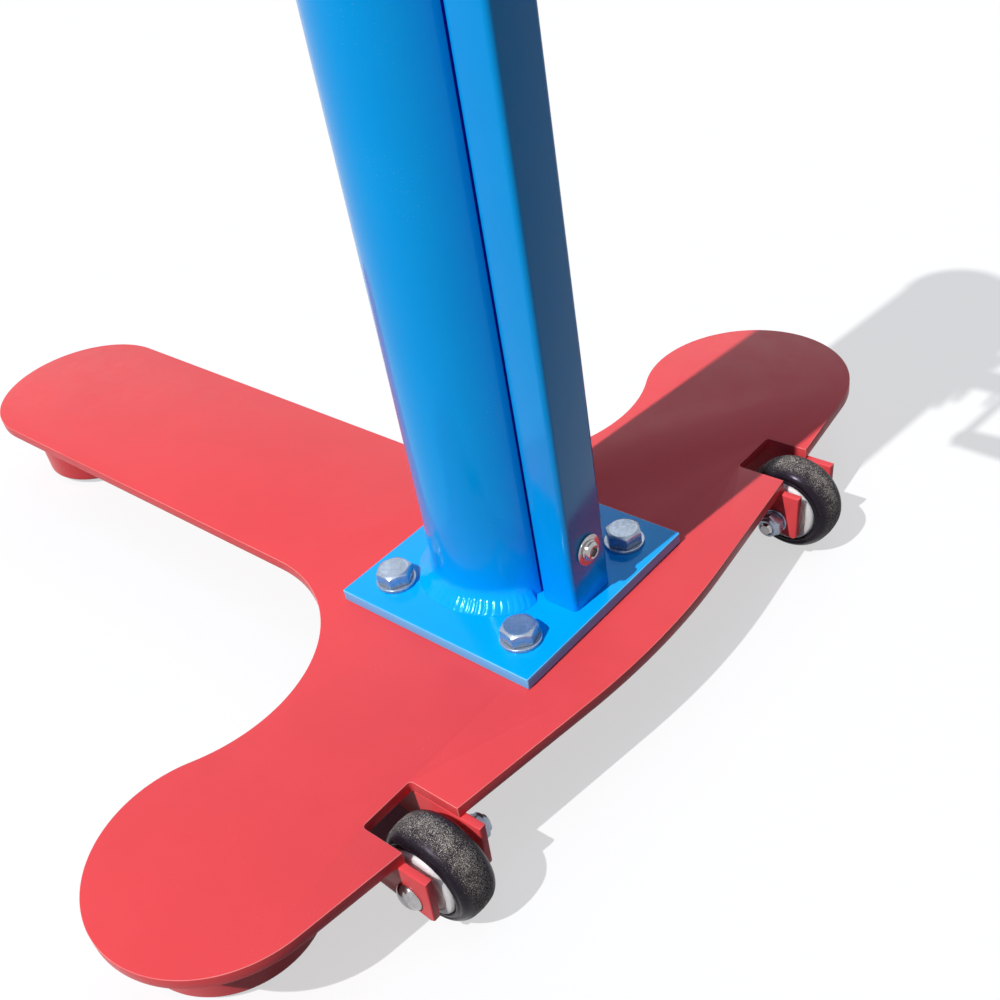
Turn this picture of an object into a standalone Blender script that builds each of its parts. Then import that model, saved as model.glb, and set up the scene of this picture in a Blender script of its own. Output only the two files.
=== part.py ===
"""Freestanding, wheel-away net post: a steel anchor-shaped base, a bolted post and a rope winch.

Metres, +Z up. +X points to the wheels, the long arm runs along -X, and the cross-bar runs
along Y. The pieces are dimensioned from the post's axis; one empty then carries them all, so
that the origin is on the floor under the middle of the stand's outline.
"""
import math
from types import SimpleNamespace

import bmesh
import bpy
from mathutils import Matrix, Vector
from mathutils.geometry import tessellate_polygon

# ---------------------------------------------------------------- shared clearances
WELD_GAP = 0.0003          # between faces that are welded or bolted together
RUN_CLEAR = 0.00005        # radial, for a shaft that turns in a bore
HOLE_CLEAR = 0.0007        # radial, for a bolt in a drilled hole

# ---------------------------------------------------------------- base plate
PLATE_TOP = 0.075
PLATE_THICK = 0.009
ARM_HALF = 0.084
ARM_REACH = 0.641
LOBE_RADIUS = 0.086
LOBE_X = 0.0215
LOBE_Y = 0.299
WAIST_RADIUS = 0.121
PROW_X = 0.147
PROW_SLOPE = 0.130
PROW_RADIUS = 0.600
NOTCH_INNER_X = 0.082
NOTCH_HALF = 0.0215
NOTCH_CORNER = 0.003

# ---------------------------------------------------------------- feet
FOOT_X = LOBE_X - 0.0165
FOOT_Y = LOBE_Y + 0.001
FOOT_RADIUS = 0.064
ARM_FOOT_RADIUS = 0.060
SOLE_THICK = 0.004
SOLE_INSET = 0.008

# ---------------------------------------------------------------- wheels and their ears
WHEEL_X = 0.119
WHEEL_Y = 0.212
WHEEL_Z = 0.040
TYRE_RADIUS = 0.0375
TYRE_HALF = 0.0155
TYRE_BEAD = 0.0258
HUB_RIM = TYRE_BEAD - WELD_GAP
HUB_HALF = 0.0192
HUB_BOSS = 0.0105
AXLE_RADIUS = 0.005
EAR_THICK = 0.006
EAR_BACK_X = 0.0595
EAR_FRONT_X = 0.1385
EAR_DEPTH = 0.040
EAR_DEPTH_BACK = 0.0285

# ---------------------------------------------------------------- flange, post, side tube
FLANGE_SIDE = 0.178
FLANGE_THICK = 0.009
FLANGE_X = 0.0073
BOLT_GRID = 0.060
M16 = SimpleNamespace(radius=0.008, flats=0.024, head=0.010, nut=0.013, washer=0.015)
POST_RADIUS = 0.0512
POST_WALL = 0.0036
TUBE_GAP = 0.0027
TUBE_DEPTH = 0.0304
TUBE_HALF = 0.0200
TUBE_WALL = 0.0025
TUBE_CORNER = 0.004
WELD_LEG = 0.0125
WELD_OPEN_DEG = 27.0
BUTTON_HEIGHT = 0.043

# ---------------------------------------------------------------- head and rope sheave
NET_HEIGHT = 0.914
HEADLINE_SIZE = 0.006
HEAD_THICK = 0.006
HEAD_MARGIN = 0.003
SHEAVE_X = 0.078
SHEAVE_RADIUS = 0.030
SHEAVE_ROOT = 0.0245
SHEAVE_HALF = 0.006
SHEAVE_OVER_HEAD = 0.0037
CHEEK_GAP = 0.016
CHEEK_THICK = 0.005
CHEEK_BACK_X = 0.026
M10 = SimpleNamespace(radius=0.005, flats=0.017, head=0.0064, nut=0.009, washer=0.010)

# ---------------------------------------------------------------- rope winch
WINCH_BELOW_NET = 0.250
WINCH_PLATE = SimpleNamespace(thick=0.005, half_width=0.034, below=0.045, above=0.092)
DRUM_CORE = 0.014
DRUM_ROPE_WIDTH = 0.022
DRUM_FLANGE = 0.033
DRUM_FLANGE_THICK = 0.003
DRUM_STANDOFF = 0.0035
DRUM_NOSE = 0.006
RATCHET_TEETH = 12
RATCHET_TIP = 0.037
RATCHET_ROOT = 0.031
RATCHET_THICK = 0.005
SPINDLE_RADIUS = 0.006
CRANK_LENGTH = 0.125
CRANK_WIDTH = 0.024
CRANK_THICK = 0.006
GRIP_LENGTH = 0.086
GRIP_PLAY = 0.0012
GRIP_HEAD = 0.0036
GRIP_RADIUS = 0.0135
PAWL_PIVOT = SimpleNamespace(y=-0.012, z=0.056)
PAWL_PIN_RADIUS = 0.004
PAWL_FLIP_DEG = 150.0
PAWL_BITE_DEG = 61.5
PAWL_LIFT = 0.0012
STOP_RADIUS = 0.003

# ---------------------------------------------------------------- finishes
FINISH = {
    "red": ((0.62, 0.030, 0.038), 0.42, 0.0),
    "blue": ((0.0, 0.27, 0.80), 0.30, 0.0),
    "zinc": ((0.62, 0.63, 0.65), 0.32, 1.0),
    "stainless": ((0.68, 0.67, 0.66), 0.22, 1.0),
    "rubber": ((0.030, 0.029, 0.031), 0.55, 0.0),
    "nylon": ((0.80, 0.80, 0.77), 0.40, 0.0),
    "grip": ((0.018, 0.018, 0.020), 0.50, 0.0),
}

# ---------------------------------------------------------------- derived heights
PLATE_UNDER = PLATE_TOP - PLATE_THICK
FLANGE_UNDER = PLATE_TOP + WELD_GAP
FLANGE_TOP = FLANGE_UNDER + FLANGE_THICK
TUBE_BACK = POST_RADIUS + TUBE_GAP
TUBE_FRONT = TUBE_BACK + TUBE_DEPTH
SHEAVE_Z = NET_HEIGHT - HEADLINE_SIZE - SHEAVE_ROOT
HEAD_TOP = SHEAVE_Z - SHEAVE_RADIUS - SHEAVE_OVER_HEAD
POST_TOP = HEAD_TOP - HEAD_THICK - WELD_GAP
WINCH_Z = NET_HEIGHT - WINCH_BELOW_NET

# ---------------------------------------------------------------- derived places along X
WINCH_BACK = TUBE_FRONT + WELD_GAP
WINCH_FRONT = WINCH_BACK + WINCH_PLATE.thick
DRUM_BACK = WINCH_FRONT + DRUM_STANDOFF
DRUM_FRONT = DRUM_BACK + RATCHET_THICK + DRUM_ROPE_WIDTH + DRUM_FLANGE_THICK + DRUM_NOSE
CRANK_BACK = DRUM_FRONT + WELD_GAP
GRIP_END = CRANK_BACK + CRANK_THICK + GRIP_PLAY + GRIP_LENGTH + GRIP_HEAD
POST_X = (ARM_REACH - GRIP_END) / 2.0


# ================================================================ geometry helpers
def arc(cx, cy, radius, start, end, steps):
    """Points on a circle from start to end degrees, both ends included."""
    turn = (end - start) / steps
    angles = [math.radians(start + turn * i) for i in range(steps + 1)]
    return [(cx + radius * math.cos(a), cy + radius * math.sin(a)) for a in angles]


def circle(cx, cy, radius, steps):
    """A full counter-clockwise circle."""
    return arc(cx, cy, radius, 0.0, 360.0, steps)[:-1]


def bore_radius(shaft, clearance, steps):
    """The corner radius of a faceted bore whose flats clear a shaft by the clearance."""
    return (shaft + clearance) / math.cos(math.pi / steps)


def rounded_box(x0, x1, y0, y1, radius, steps=4):
    """A counter-clockwise rectangle with round corners."""
    corners = [
        (x1 - radius, y0 + radius, -90.0),
        (x1 - radius, y1 - radius, 0.0),
        (x0 + radius, y1 - radius, 90.0),
        (x0 + radius, y0 + radius, 180.0),
    ]
    loop = []
    for cx, cy, start in corners:
        loop += arc(cx, cy, radius, start, start + 90.0, steps)
    return loop


def inset(loop, distance):
    """A counter-clockwise loop moved inwards, measured square to its sides."""
    moved = []
    for i, point in enumerate(loop):
        here = Vector(point)
        before = (here - Vector(loop[i - 1])).normalized()
        after = (Vector(loop[(i + 1) % len(loop)]) - here).normalized()
        n1 = Vector((-before.y, before.x))
        n2 = Vector((-after.y, after.x))
        step = (n1 + n2) * (distance / (1.0 + n1.dot(n2)))
        moved.append((here.x + step.x, here.y + step.y))
    return moved


def slab(outer, holes, z0, z1, chamfer=0.0):
    """A flat plate with through holes; its outer edges may be chamfered."""
    bm = bmesh.new()
    rings = [(outer, z0), (outer, z1)]
    if chamfer > 0.0:
        face = inset(outer, chamfer)
        rings = [(face, z0), (outer, z0 + chamfer), (outer, z1 - chamfer), (face, z1)]
    walls = [[[bm.verts.new((x, y, z)) for x, y in loop] for loop, z in rings]]
    for hole in holes:
        walls.append([[bm.verts.new((x, y, z)) for x, y in hole] for z in (z0, z1)])
    for wall in walls:
        for low, high in zip(wall, wall[1:]):
            for i in range(len(low)):
                j = (i + 1) % len(low)
                bm.faces.new((low[i], low[j], high[j], high[i]))
    for level in (0, -1):
        loops = [wall[level] for wall in walls]
        flat = [v for loop in loops for v in loop]
        for tri in tessellate_polygon([[v.co for v in loop] for loop in loops]):
            bm.faces.new([flat[k] for k in tri])
    return bm


def loft(rings, closed=False):
    """A skin through rings of equal length, capped at both ends unless it closes on itself."""
    bm = bmesh.new()
    built = [[bm.verts.new(p) for p in ring] for ring in rings]
    pairs = list(zip(built, built[1:]))
    if closed:
        pairs.append((built[-1], built[0]))
    for low, high in pairs:
        for i in range(len(low)):
            j = (i + 1) % len(low)
            bm.faces.new((low[i], low[j], high[j], high[i]))
    if not closed:
        bm.faces.new(built[0])
        bm.faces.new(built[-1])
    return bm


def lathe(profile, steps, closed=False):
    """A turned solid from (radius, height) corners; closed for one with a bore."""
    rings = [[(x, y, z) for x, y in circle(0.0, 0.0, r, steps)] for r, z in profile]
    return loft(rings, closed)


def hexagon(flats, steps_per_side):
    """A hexagon with extra points along its sides."""
    radius = flats / math.sqrt(3.0)
    corners = [Vector(p) for p in circle(0.0, 0.0, radius, 6)]
    loop = []
    for i, corner in enumerate(corners):
        following = corners[(i + 1) % 6]
        for k in range(steps_per_side):
            point = corner.lerp(following, k / steps_per_side)
            loop.append((point.x, point.y))
    return loop


def hex_bolt(size, length):
    """Hex head above z = 0 with a turned chamfer, shank below."""
    steps = 18
    hex_loop = hexagon(size.flats, 3)
    crown = circle(0.0, 0.0, size.flats * 0.47, steps)
    shank = circle(0.0, 0.0, size.radius, steps)
    rings = [
        (crown, size.head),
        (hex_loop, size.head - size.flats * 0.035),
        (hex_loop, 0.0),
        (shank, 0.0),
        (shank, -length + size.radius * 0.15),
        (circle(0.0, 0.0, size.radius * 0.85, steps), -length),
    ]
    bm = loft([[(x, y, z) for x, y in loop] for loop, z in rings])
    bmesh.ops.triangulate(bm, faces=[f for f in bm.faces if len(f.verts) == 4])
    return bm


def hex_nut(size, nylon=0.0):
    """Hex nut from z = 0 upwards; a lock nut has a round collar on top."""
    steps = 18
    bore = circle(0.0, 0.0, bore_radius(size.radius, WELD_GAP, steps), steps)
    hex_loop = hexagon(size.flats, 3)
    collar = circle(0.0, 0.0, size.flats * 0.46, steps)
    rings = [(bore, 0.0), (hex_loop, 0.0), (hex_loop, size.nut), (collar, size.nut)]
    if nylon > 0.0:
        rings.append((collar, size.nut + nylon))
    rings.append((bore, size.nut + nylon))
    return loft([[(x, y, z) for x, y in loop] for loop, z in rings], closed=True)


def washer(inner, outer, thick, steps=24):
    """A flat ring from z = 0 upwards."""
    return lathe([(inner, 0.0), (outer, 0.0), (outer, thick), (inner, thick)], steps, closed=True)


AIM = {
    "+Z": Matrix.Identity(4),
    "-Z": Matrix.Rotation(math.pi, 4, "X"),
    "+Y": Matrix.Rotation(-math.pi / 2, 4, "X"),
    "-Y": Matrix.Rotation(math.pi / 2, 4, "X"),
    "+X": Matrix.Rotation(math.pi / 2, 4, "Y"),
}
UPRIGHT_XZ = Matrix.Rotation(math.pi / 2, 4, "X")
UPRIGHT_YZ = Matrix(((0, 0, 1, 0), (1, 0, 0, 0), (0, 1, 0, 0), (0, 0, 0, 1)))


def reach(empty):
    """Where an empty stands, measured from the post's axis on the floor."""
    if empty.parent is None:
        return Vector((0.0, 0.0, 0.0))
    return empty.location + reach(empty.parent)


def attach(obj, origin, parent):
    """Links an object and hangs it from its pivot, or from the empty that carries the stand."""
    bpy.context.scene.collection.objects.link(obj)
    obj.parent = parent or bpy.data.objects["stand"]
    obj.location = Vector(origin) - reach(obj.parent)


def place(name, bm, finish, origin=(0.0, 0.0, 0.0), turn=None, parent=None):
    """Turns a bmesh into a named object with its own material, its origin where it belongs.

    The origin is measured from the post's axis on the floor, also under a pivot.
    """
    if turn is not None:
        bmesh.ops.transform(bm, matrix=turn, verts=bm.verts)
    bmesh.ops.recalc_face_normals(bm, faces=bm.faces)
    mesh = bpy.data.meshes.new(name)
    bm.to_mesh(mesh)
    bm.free()
    obj = bpy.data.objects.new(name, mesh)
    attach(obj, origin, parent)
    material = bpy.data.materials.new(name + "_finish")
    material.use_nodes = True
    colour, roughness, metallic = FINISH[finish]
    shader = material.node_tree.nodes["Principled BSDF"]
    shader.inputs["Base Color"].default_value = (*colour, 1.0)
    shader.inputs["Roughness"].default_value = roughness
    shader.inputs["Metallic"].default_value = metallic
    mesh.materials.append(material)
    mesh.shade_smooth()
    mesh.set_sharp_from_angle(angle=math.radians(32.0))
    return obj


def pivot(name, origin, parent=None):
    """An empty on a joint's axis; the pieces that turn there hang from it."""
    empty = bpy.data.objects.new(name, None)
    empty.empty_display_size = 0.03
    attach(empty, origin, parent)
    return empty


# ================================================================ base
def waist_centre():
    """The centre of the inward curve between a lobe and the arm."""
    reach = LOBE_RADIUS + WAIST_RADIUS
    y = ARM_HALF + WAIST_RADIUS
    return LOBE_X - math.sqrt(reach ** 2 - (LOBE_Y - y) ** 2), y


def half_base_outline():
    """The outline for y above 0, from the middle of the outer edge round to the arm's tip."""
    slant = math.atan(PROW_SLOPE)
    run_out = PROW_RADIUS * math.tan(slant / 2.0)
    tangent_y = PROW_RADIUS * math.sin(slant)
    apex = PROW_X - run_out * math.sin(slant)
    prow = arc(apex - PROW_RADIUS, 0.0, PROW_RADIUS, 0.0, math.degrees(slant), 4)
    edge_x = prow[-1][0]

    def outer_x(y):
        return edge_x - PROW_SLOPE * (y - tangent_y)

    low, high = WHEEL_Y - NOTCH_HALF, WHEEL_Y + NOTCH_HALF
    notch = [(outer_x(low), low)]
    notch += arc(NOTCH_INNER_X + NOTCH_CORNER, low + NOTCH_CORNER, NOTCH_CORNER, 270.0, 180.0, 4)
    notch += arc(NOTCH_INNER_X + NOTCH_CORNER, high - NOTCH_CORNER, NOTCH_CORNER, 180.0, 90.0, 4)
    notch.append((outer_x(high), high))

    waist_x, waist_y = waist_centre()
    meet = math.degrees(math.atan2(LOBE_Y - waist_y, LOBE_X - waist_x))
    lobe = arc(LOBE_X, LOBE_Y, LOBE_RADIUS, math.degrees(slant), 180.0 + meet, 24)
    waist = arc(waist_x, waist_y, WAIST_RADIUS, meet, -90.0, 15)[1:]
    tip = arc(-ARM_REACH + ARM_HALF, 0.0, ARM_HALF, 90.0, 180.0, 11)
    return prow + notch + lobe + waist + tip


def base_outline():
    """The whole outline, counter-clockwise."""
    half = half_base_outline()
    mirrored = [(x, -y) for x, y in reversed(half[1:-1])]
    return half + mirrored


def bolt_points():
    """The four flange bolts, counter-clockwise from the one nearest the arm and the left wheel."""
    return [(FLANGE_X + sx * BOLT_GRID, sy * BOLT_GRID) for sx, sy in ((-1, -1), (1, -1), (1, 1), (-1, 1))]


def build_base():
    """Anchor-shaped plate and its three round feet with rubber soles."""
    hole = bore_radius(M16.radius, HOLE_CLEAR, 24)
    holes = [circle(x, y, hole, 24) for x, y in bolt_points()]
    place("base_plate", slab(base_outline(), holes, PLATE_UNDER, PLATE_TOP), "red")
    feet = {
        "left": (FOOT_X, -FOOT_Y, FOOT_RADIUS),
        "right": (FOOT_X, FOOT_Y, FOOT_RADIUS),
        "arm": (-ARM_REACH + ARM_HALF, 0.0, ARM_FOOT_RADIUS),
    }
    low = SOLE_THICK + WELD_GAP
    high = PLATE_UNDER - WELD_GAP
    for side, (x, y, radius) in feet.items():
        profile = [(radius - 0.002, low), (radius, low + 0.002), (radius, high)]
        place("foot_" + side, lathe(profile, 48), "red", (x, y, 0.0))
        sole = radius - SOLE_INSET
        profile = [(sole - 0.001, 0.0), (sole, 0.001), (sole, SOLE_THICK)]
        place("sole_" + side, lathe(profile, 36), "rubber", (x, y, 0.0))


# ================================================================ wheels
def ear_outline():
    """Side view of a wheel ear, x against z: deeper at its outer end."""
    top = PLATE_UNDER - WELD_GAP
    low = top - EAR_DEPTH
    back = top - EAR_DEPTH_BACK
    return [
        (EAR_BACK_X, back + 0.003),
        (EAR_BACK_X + 0.003, back),
        (EAR_FRONT_X - 0.005, low),
        (EAR_FRONT_X - 0.002, low + 0.002),
        (EAR_FRONT_X, top),
        (EAR_BACK_X, top),
    ]


def tyre_profile():
    """Half-round shouldered rubber tyre, radius against width, counter-clockwise."""
    shoulder = 0.0085
    crown = TYRE_RADIUS - shoulder
    side = TYRE_HALF - shoulder
    profile = [(TYRE_BEAD, -TYRE_HALF + 0.0015), (TYRE_BEAD + 0.0015, -TYRE_HALF)]
    profile += [(crown + y, -side + x) for x, y in arc(0.0, 0.0, shoulder, 180.0, 97.0, 4)]
    profile += [(TYRE_RADIUS, 0.0)]
    profile += [(crown + y, side + x) for x, y in arc(0.0, 0.0, shoulder, 83.0, 0.0, 4)]
    profile += [(TYRE_BEAD + 0.0015, TYRE_HALF), (TYRE_BEAD, TYRE_HALF - 0.0015)]
    return profile


def hub_profile():
    """Moulded nylon hub: rim lip, dished web and a boss that carries the bore."""
    steps = 32
    bore = bore_radius(AXLE_RADIUS, RUN_CLEAR, steps)
    face = TYRE_HALF + 0.0006
    one_side = [
        (bore, HUB_HALF),
        (HUB_BOSS, HUB_HALF),
        (HUB_BOSS + 0.001, face - 0.006),
        (0.0175, face - 0.006),
        (0.0180, face - 0.0025),
        (0.0208, face - 0.0025),
        (0.0215, face),
        (HUB_RIM - 0.0008, face),
        (HUB_RIM, face - 0.0008),
    ]
    return one_side + [(r, -z) for r, z in reversed(one_side)]


def dome_bolt(size, length):
    """Round-headed bolt: dome above z = 0, plain shank below."""
    dome = [(0.0022, 0.0058), (0.0055, 0.0050), (0.0085, 0.0030), (0.0104, 0.0004), (0.0104, 0.0)]
    profile = dome + [(size.radius, 0.0), (size.radius, -length + 0.0008), (size.radius * 0.85, -length)]
    return lathe(profile, 24)


def build_wheel(side):
    """One wheel between its ears, on side -1 or +1 of the post; its bolt head faces away."""
    label = "left" if side < 0 else "right"
    outward = "-Y" if side < 0 else "+Y"
    inward = "+Y" if side < 0 else "-Y"
    centre = Vector((WHEEL_X, side * WHEEL_Y, WHEEL_Z))
    hole = circle(WHEEL_X, WHEEL_Z, bore_radius(AXLE_RADIUS, HOLE_CLEAR, 20), 20)
    for name, offset in (("outer", NOTCH_HALF), ("inner", -NOTCH_HALF - EAR_THICK)):
        ear = slab(ear_outline(), [hole], 0.0, EAR_THICK, 0.0006)
        y0 = side * (WHEEL_Y + offset)
        y1 = side * (WHEEL_Y + offset + EAR_THICK)
        place(f"ear_{label}_{name}", ear, "red", (0.0, max(y0, y1), 0.0), UPRIGHT_XZ)

    hub = pivot(f"wheel_{label}_axis", centre)
    place("tyre_" + label, lathe(tyre_profile(), 36, closed=True), "rubber", centre, AIM["+Y"], parent=hub)
    place("hub_" + label, lathe(hub_profile(), 32, closed=True), "nylon", centre, AIM["+Y"], parent=hub)

    ear_face = NOTCH_HALF + EAR_THICK + WELD_GAP
    reach = side * Vector((0.0, ear_face, 0.0))
    grip = 2.0 * ear_face + M10.nut + 0.0068
    place("axle_bolt_" + label, dome_bolt(M10, grip), "stainless", centre + reach, AIM[outward])
    place("nut_washer_" + label, washer(0.0054, M10.washer, 0.002), "zinc", centre - reach, AIM[inward])
    nut_face = centre - reach - side * Vector((0.0, 0.002 + WELD_GAP, 0.0))
    place("lock_nut_" + label, hex_nut(M10, nylon=0.0028), "zinc", nut_face, AIM[inward])
    spacer = NOTCH_HALF - HUB_HALF - 2.0 * WELD_GAP
    for name, way, sign in (("outer", outward, side), ("inner", inward, -side)):
        start = centre + sign * Vector((0.0, HUB_HALF + WELD_GAP, 0.0))
        place(f"spacer_{label}_{name}", washer(0.0054, 0.0088, spacer, 20), "zinc", start, AIM[way])


# ================================================================ flange and post
def build_flange():
    """Square flange on the base plate with its four bolts, washers and nuts."""
    half = FLANGE_SIDE / 2.0
    outline = rounded_box(FLANGE_X - half, FLANGE_X + half, -half, half, 0.0012, 2)
    hole = bore_radius(M16.radius, HOLE_CLEAR, 24)
    holes = [circle(x, y, hole, 24) for x, y in bolt_points()]
    place("flange_plate", slab(outline, holes, FLANGE_UNDER, FLANGE_TOP, 0.0008), "blue")
    washer_thick = 0.0027
    head_face = FLANGE_TOP + washer_thick + 2.0 * WELD_GAP
    nut_face = PLATE_UNDER - WELD_GAP
    length = head_face - nut_face + M16.nut + 0.005
    spins = (12.0, 34.0, -8.0, 21.0)
    for i, ((x, y), spin) in enumerate(zip(bolt_points(), spins), start=1):
        turned = Matrix.Rotation(math.radians(spin), 4, "Z")
        ring = washer(M16.radius + 0.0006, M16.washer, washer_thick, 28)
        place(f"flange_washer_{i}", ring, "zinc", (x, y, FLANGE_TOP + WELD_GAP))
        place(f"flange_bolt_{i}", hex_bolt(M16, length), "zinc", (x, y, head_face), turned)
        place(f"flange_nut_{i}", hex_nut(M16), "zinc", (x, y, nut_face), AIM["-Z"] @ turned)


def weld_ring():
    """Hollow-faced fillet weld round the post's foot, open where the side tube stands."""
    foot = FLANGE_TOP + WELD_GAP
    inner = POST_RADIUS + WELD_GAP
    face = [
        (0.0, 0.0),
        (WELD_LEG, 0.0),
        (WELD_LEG, 0.0006),
        (WELD_LEG * 0.55, WELD_LEG * 0.20),
        (WELD_LEG * 0.20, WELD_LEG * 0.52),
        (0.0006, WELD_LEG * 0.95),
        (0.0, WELD_LEG * 0.95),
    ]
    steps = 36
    sweep = 360.0 - 2.0 * WELD_OPEN_DEG
    rings = []
    for i in range(steps + 1):
        a = math.radians(WELD_OPEN_DEG + sweep * i / steps)
        rings.append([((inner + r) * math.cos(a), (inner + r) * math.sin(a), foot + z) for r, z in face])
    return loft(rings)


def build_post():
    """Round post, its weld, and the rectangular tube that stands behind it."""
    foot = FLANGE_TOP + WELD_GAP
    bore = POST_RADIUS - POST_WALL
    profile = [(bore, foot), (POST_RADIUS, foot), (POST_RADIUS, POST_TOP), (bore, POST_TOP)]
    place("main_post", lathe(profile, 60, closed=True), "blue")
    place("post_weld", weld_ring(), "blue")

    outer = rounded_box(TUBE_BACK, TUBE_FRONT, -TUBE_HALF, TUBE_HALF, TUBE_CORNER, 5)
    inner = inset(outer, TUBE_WALL)
    tube = place("side_tube", slab(outer, [inner], foot, POST_TOP), "blue")
    drill = place("drill", lathe([(0.0046, -0.012), (0.0046, 0.012)], 24), "blue",
                  (TUBE_FRONT, 0.0, FLANGE_TOP + BUTTON_HEIGHT), AIM["+X"])
    cut = tube.modifiers.new("button hole", "BOOLEAN")
    cut.operation = "DIFFERENCE"
    cut.solver = "EXACT"
    cut.object = drill
    bpy.context.view_layer.update()
    evaluated = tube.evaluated_get(bpy.context.evaluated_depsgraph_get())
    drilled = bpy.data.meshes.new_from_object(evaluated)
    tube.modifiers.clear()
    tube.data = drilled
    bpy.data.objects.remove(drill)

    seat = Vector((TUBE_FRONT + WELD_GAP, 0.0, FLANGE_TOP + BUTTON_HEIGHT))
    place("button_washer", washer(0.0046, 0.0115, 0.0014), "stainless", seat, AIM["+X"])
    steps = 24
    recess = hexagon(0.0060, 4)
    rings = [
        (circle(0.0, 0.0, 0.0042, steps), -0.010),
        (circle(0.0, 0.0, 0.0042, steps), 0.0),
        (circle(0.0, 0.0, 0.0078, steps), 0.0),
        (circle(0.0, 0.0, 0.0076, steps), 0.0014),
        (circle(0.0, 0.0, 0.0066, steps), 0.0030),
        (circle(0.0, 0.0, 0.0050, steps), 0.0039),
        (recess, 0.0039),
        (recess, 0.0010),
    ]
    button = loft([[(x, y, z) for x, y in loop] for loop, z in rings])
    place("button_bolt", button, "stainless", seat + Vector((0.0014 + WELD_GAP, 0.0, 0.0)), AIM["+X"])


# ================================================================ head and sheave
def head_outline():
    """Cap over both tubes: a round pad with a tongue towards +X."""
    radius = POST_RADIUS + HEAD_MARGIN * 0.5
    half = TUBE_HALF + HEAD_MARGIN
    tip = TUBE_FRONT + HEAD_MARGIN
    start = math.degrees(math.asin(half / radius))
    loop = arc(0.0, 0.0, radius, start, 360.0 - start, 40)
    loop += arc(tip - 0.006, -half + 0.006, 0.006, -90.0, 0.0, 5)
    loop += arc(tip - 0.006, half - 0.006, 0.006, 0.0, 90.0, 5)
    return loop


def cheek_outline():
    """Side view of a sheave cheek, x against z: a foot that rises to a round eye."""
    foot = HEAD_TOP + WELD_GAP
    eye = 0.019
    front = TUBE_FRONT + HEAD_MARGIN - 0.001
    span = math.hypot(SHEAVE_X - CHEEK_BACK_X, SHEAVE_Z - foot)
    lean = math.atan2(SHEAVE_Z - foot, SHEAVE_X - CHEEK_BACK_X)
    back = 180.0 + math.degrees(lean) - math.degrees(math.acos(eye / span))
    side = math.degrees(math.acos((front - SHEAVE_X) / eye))
    loop = [(CHEEK_BACK_X, foot), (front, foot)]
    loop += arc(SHEAVE_X, SHEAVE_Z, eye, -side, back, 20)
    return loop


def sheave_profile():
    """Grooved rope wheel, radius against width."""
    bore = bore_radius(M10.radius, RUN_CLEAR, 36)
    mouth = math.sin(math.radians(18.0))
    groove = (SHEAVE_RADIUS - SHEAVE_ROOT) / (1.0 - mouth)
    edge = 0.0006
    rim = SHEAVE_RADIUS - edge
    profile = [(bore, -SHEAVE_HALF), (rim, -SHEAVE_HALF), (SHEAVE_RADIUS, -SHEAVE_HALF + edge)]
    half_arc = arc(0.0, 0.0, groove, 162.0, 18.0, 6)
    width = (SHEAVE_HALF - 0.0014) / half_arc[-1][0]
    profile += [(SHEAVE_RADIUS + groove * mouth - y, x * width) for x, y in half_arc]
    profile += [(SHEAVE_RADIUS, SHEAVE_HALF - edge), (rim, SHEAVE_HALF), (bore, SHEAVE_HALF)]
    return profile


def build_head():
    """Cap plate, two cheeks and the sheave that carries the net's headline."""
    place("head_plate", slab(head_outline(), [], POST_TOP + WELD_GAP, HEAD_TOP, 0.0008), "blue")
    centre = Vector((SHEAVE_X, 0.0, SHEAVE_Z))
    hole = circle(SHEAVE_X, SHEAVE_Z, bore_radius(M10.radius, HOLE_CLEAR, 20), 20)
    inner = CHEEK_GAP / 2.0
    for label, y in (("left", -inner), ("right", inner + CHEEK_THICK)):
        cheek = slab(cheek_outline(), [hole], 0.0, CHEEK_THICK, 0.0006)
        place("pulley_cheek_" + label, cheek, "blue", (0.0, y, 0.0), UPRIGHT_XZ)
    axis = pivot("sheave_axis", centre)
    place("rope_sheave", lathe(sheave_profile(), 36, closed=True), "nylon", centre, AIM["+Y"], parent=axis)
    face = Vector((0.0, inner + CHEEK_THICK + WELD_GAP, 0.0))
    place("sheave_bolt", hex_bolt(M10, 2.0 * face.y + M10.nut + 0.003), "zinc", centre - face, AIM["-Y"])
    place("sheave_nut", hex_nut(M10), "zinc", centre + face, AIM["+Y"])


# ================================================================ winch
def ratchet_loop():
    """Saw-toothed wheel outline, its steep faces turned against the rope's pull."""
    loop = []
    for i in range(RATCHET_TEETH):
        a = math.radians(360.0 * i / RATCHET_TEETH)
        b = math.radians(360.0 * (i + 0.86) / RATCHET_TEETH)
        loop.append((RATCHET_ROOT * math.cos(a), RATCHET_ROOT * math.sin(a)))
        loop.append((RATCHET_TIP * math.cos(b), RATCHET_TIP * math.sin(b)))
        c = math.radians(360.0 * (i + 0.95) / RATCHET_TEETH)
        loop.append((RATCHET_TIP * math.cos(c), RATCHET_TIP * math.sin(c)))
    return loop


def winch_plate_outline():
    """Back plate in y against z, with rounded corners."""
    w = WINCH_PLATE
    return rounded_box(-w.half_width, w.half_width, -w.below, w.above, 0.010, 5)


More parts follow.
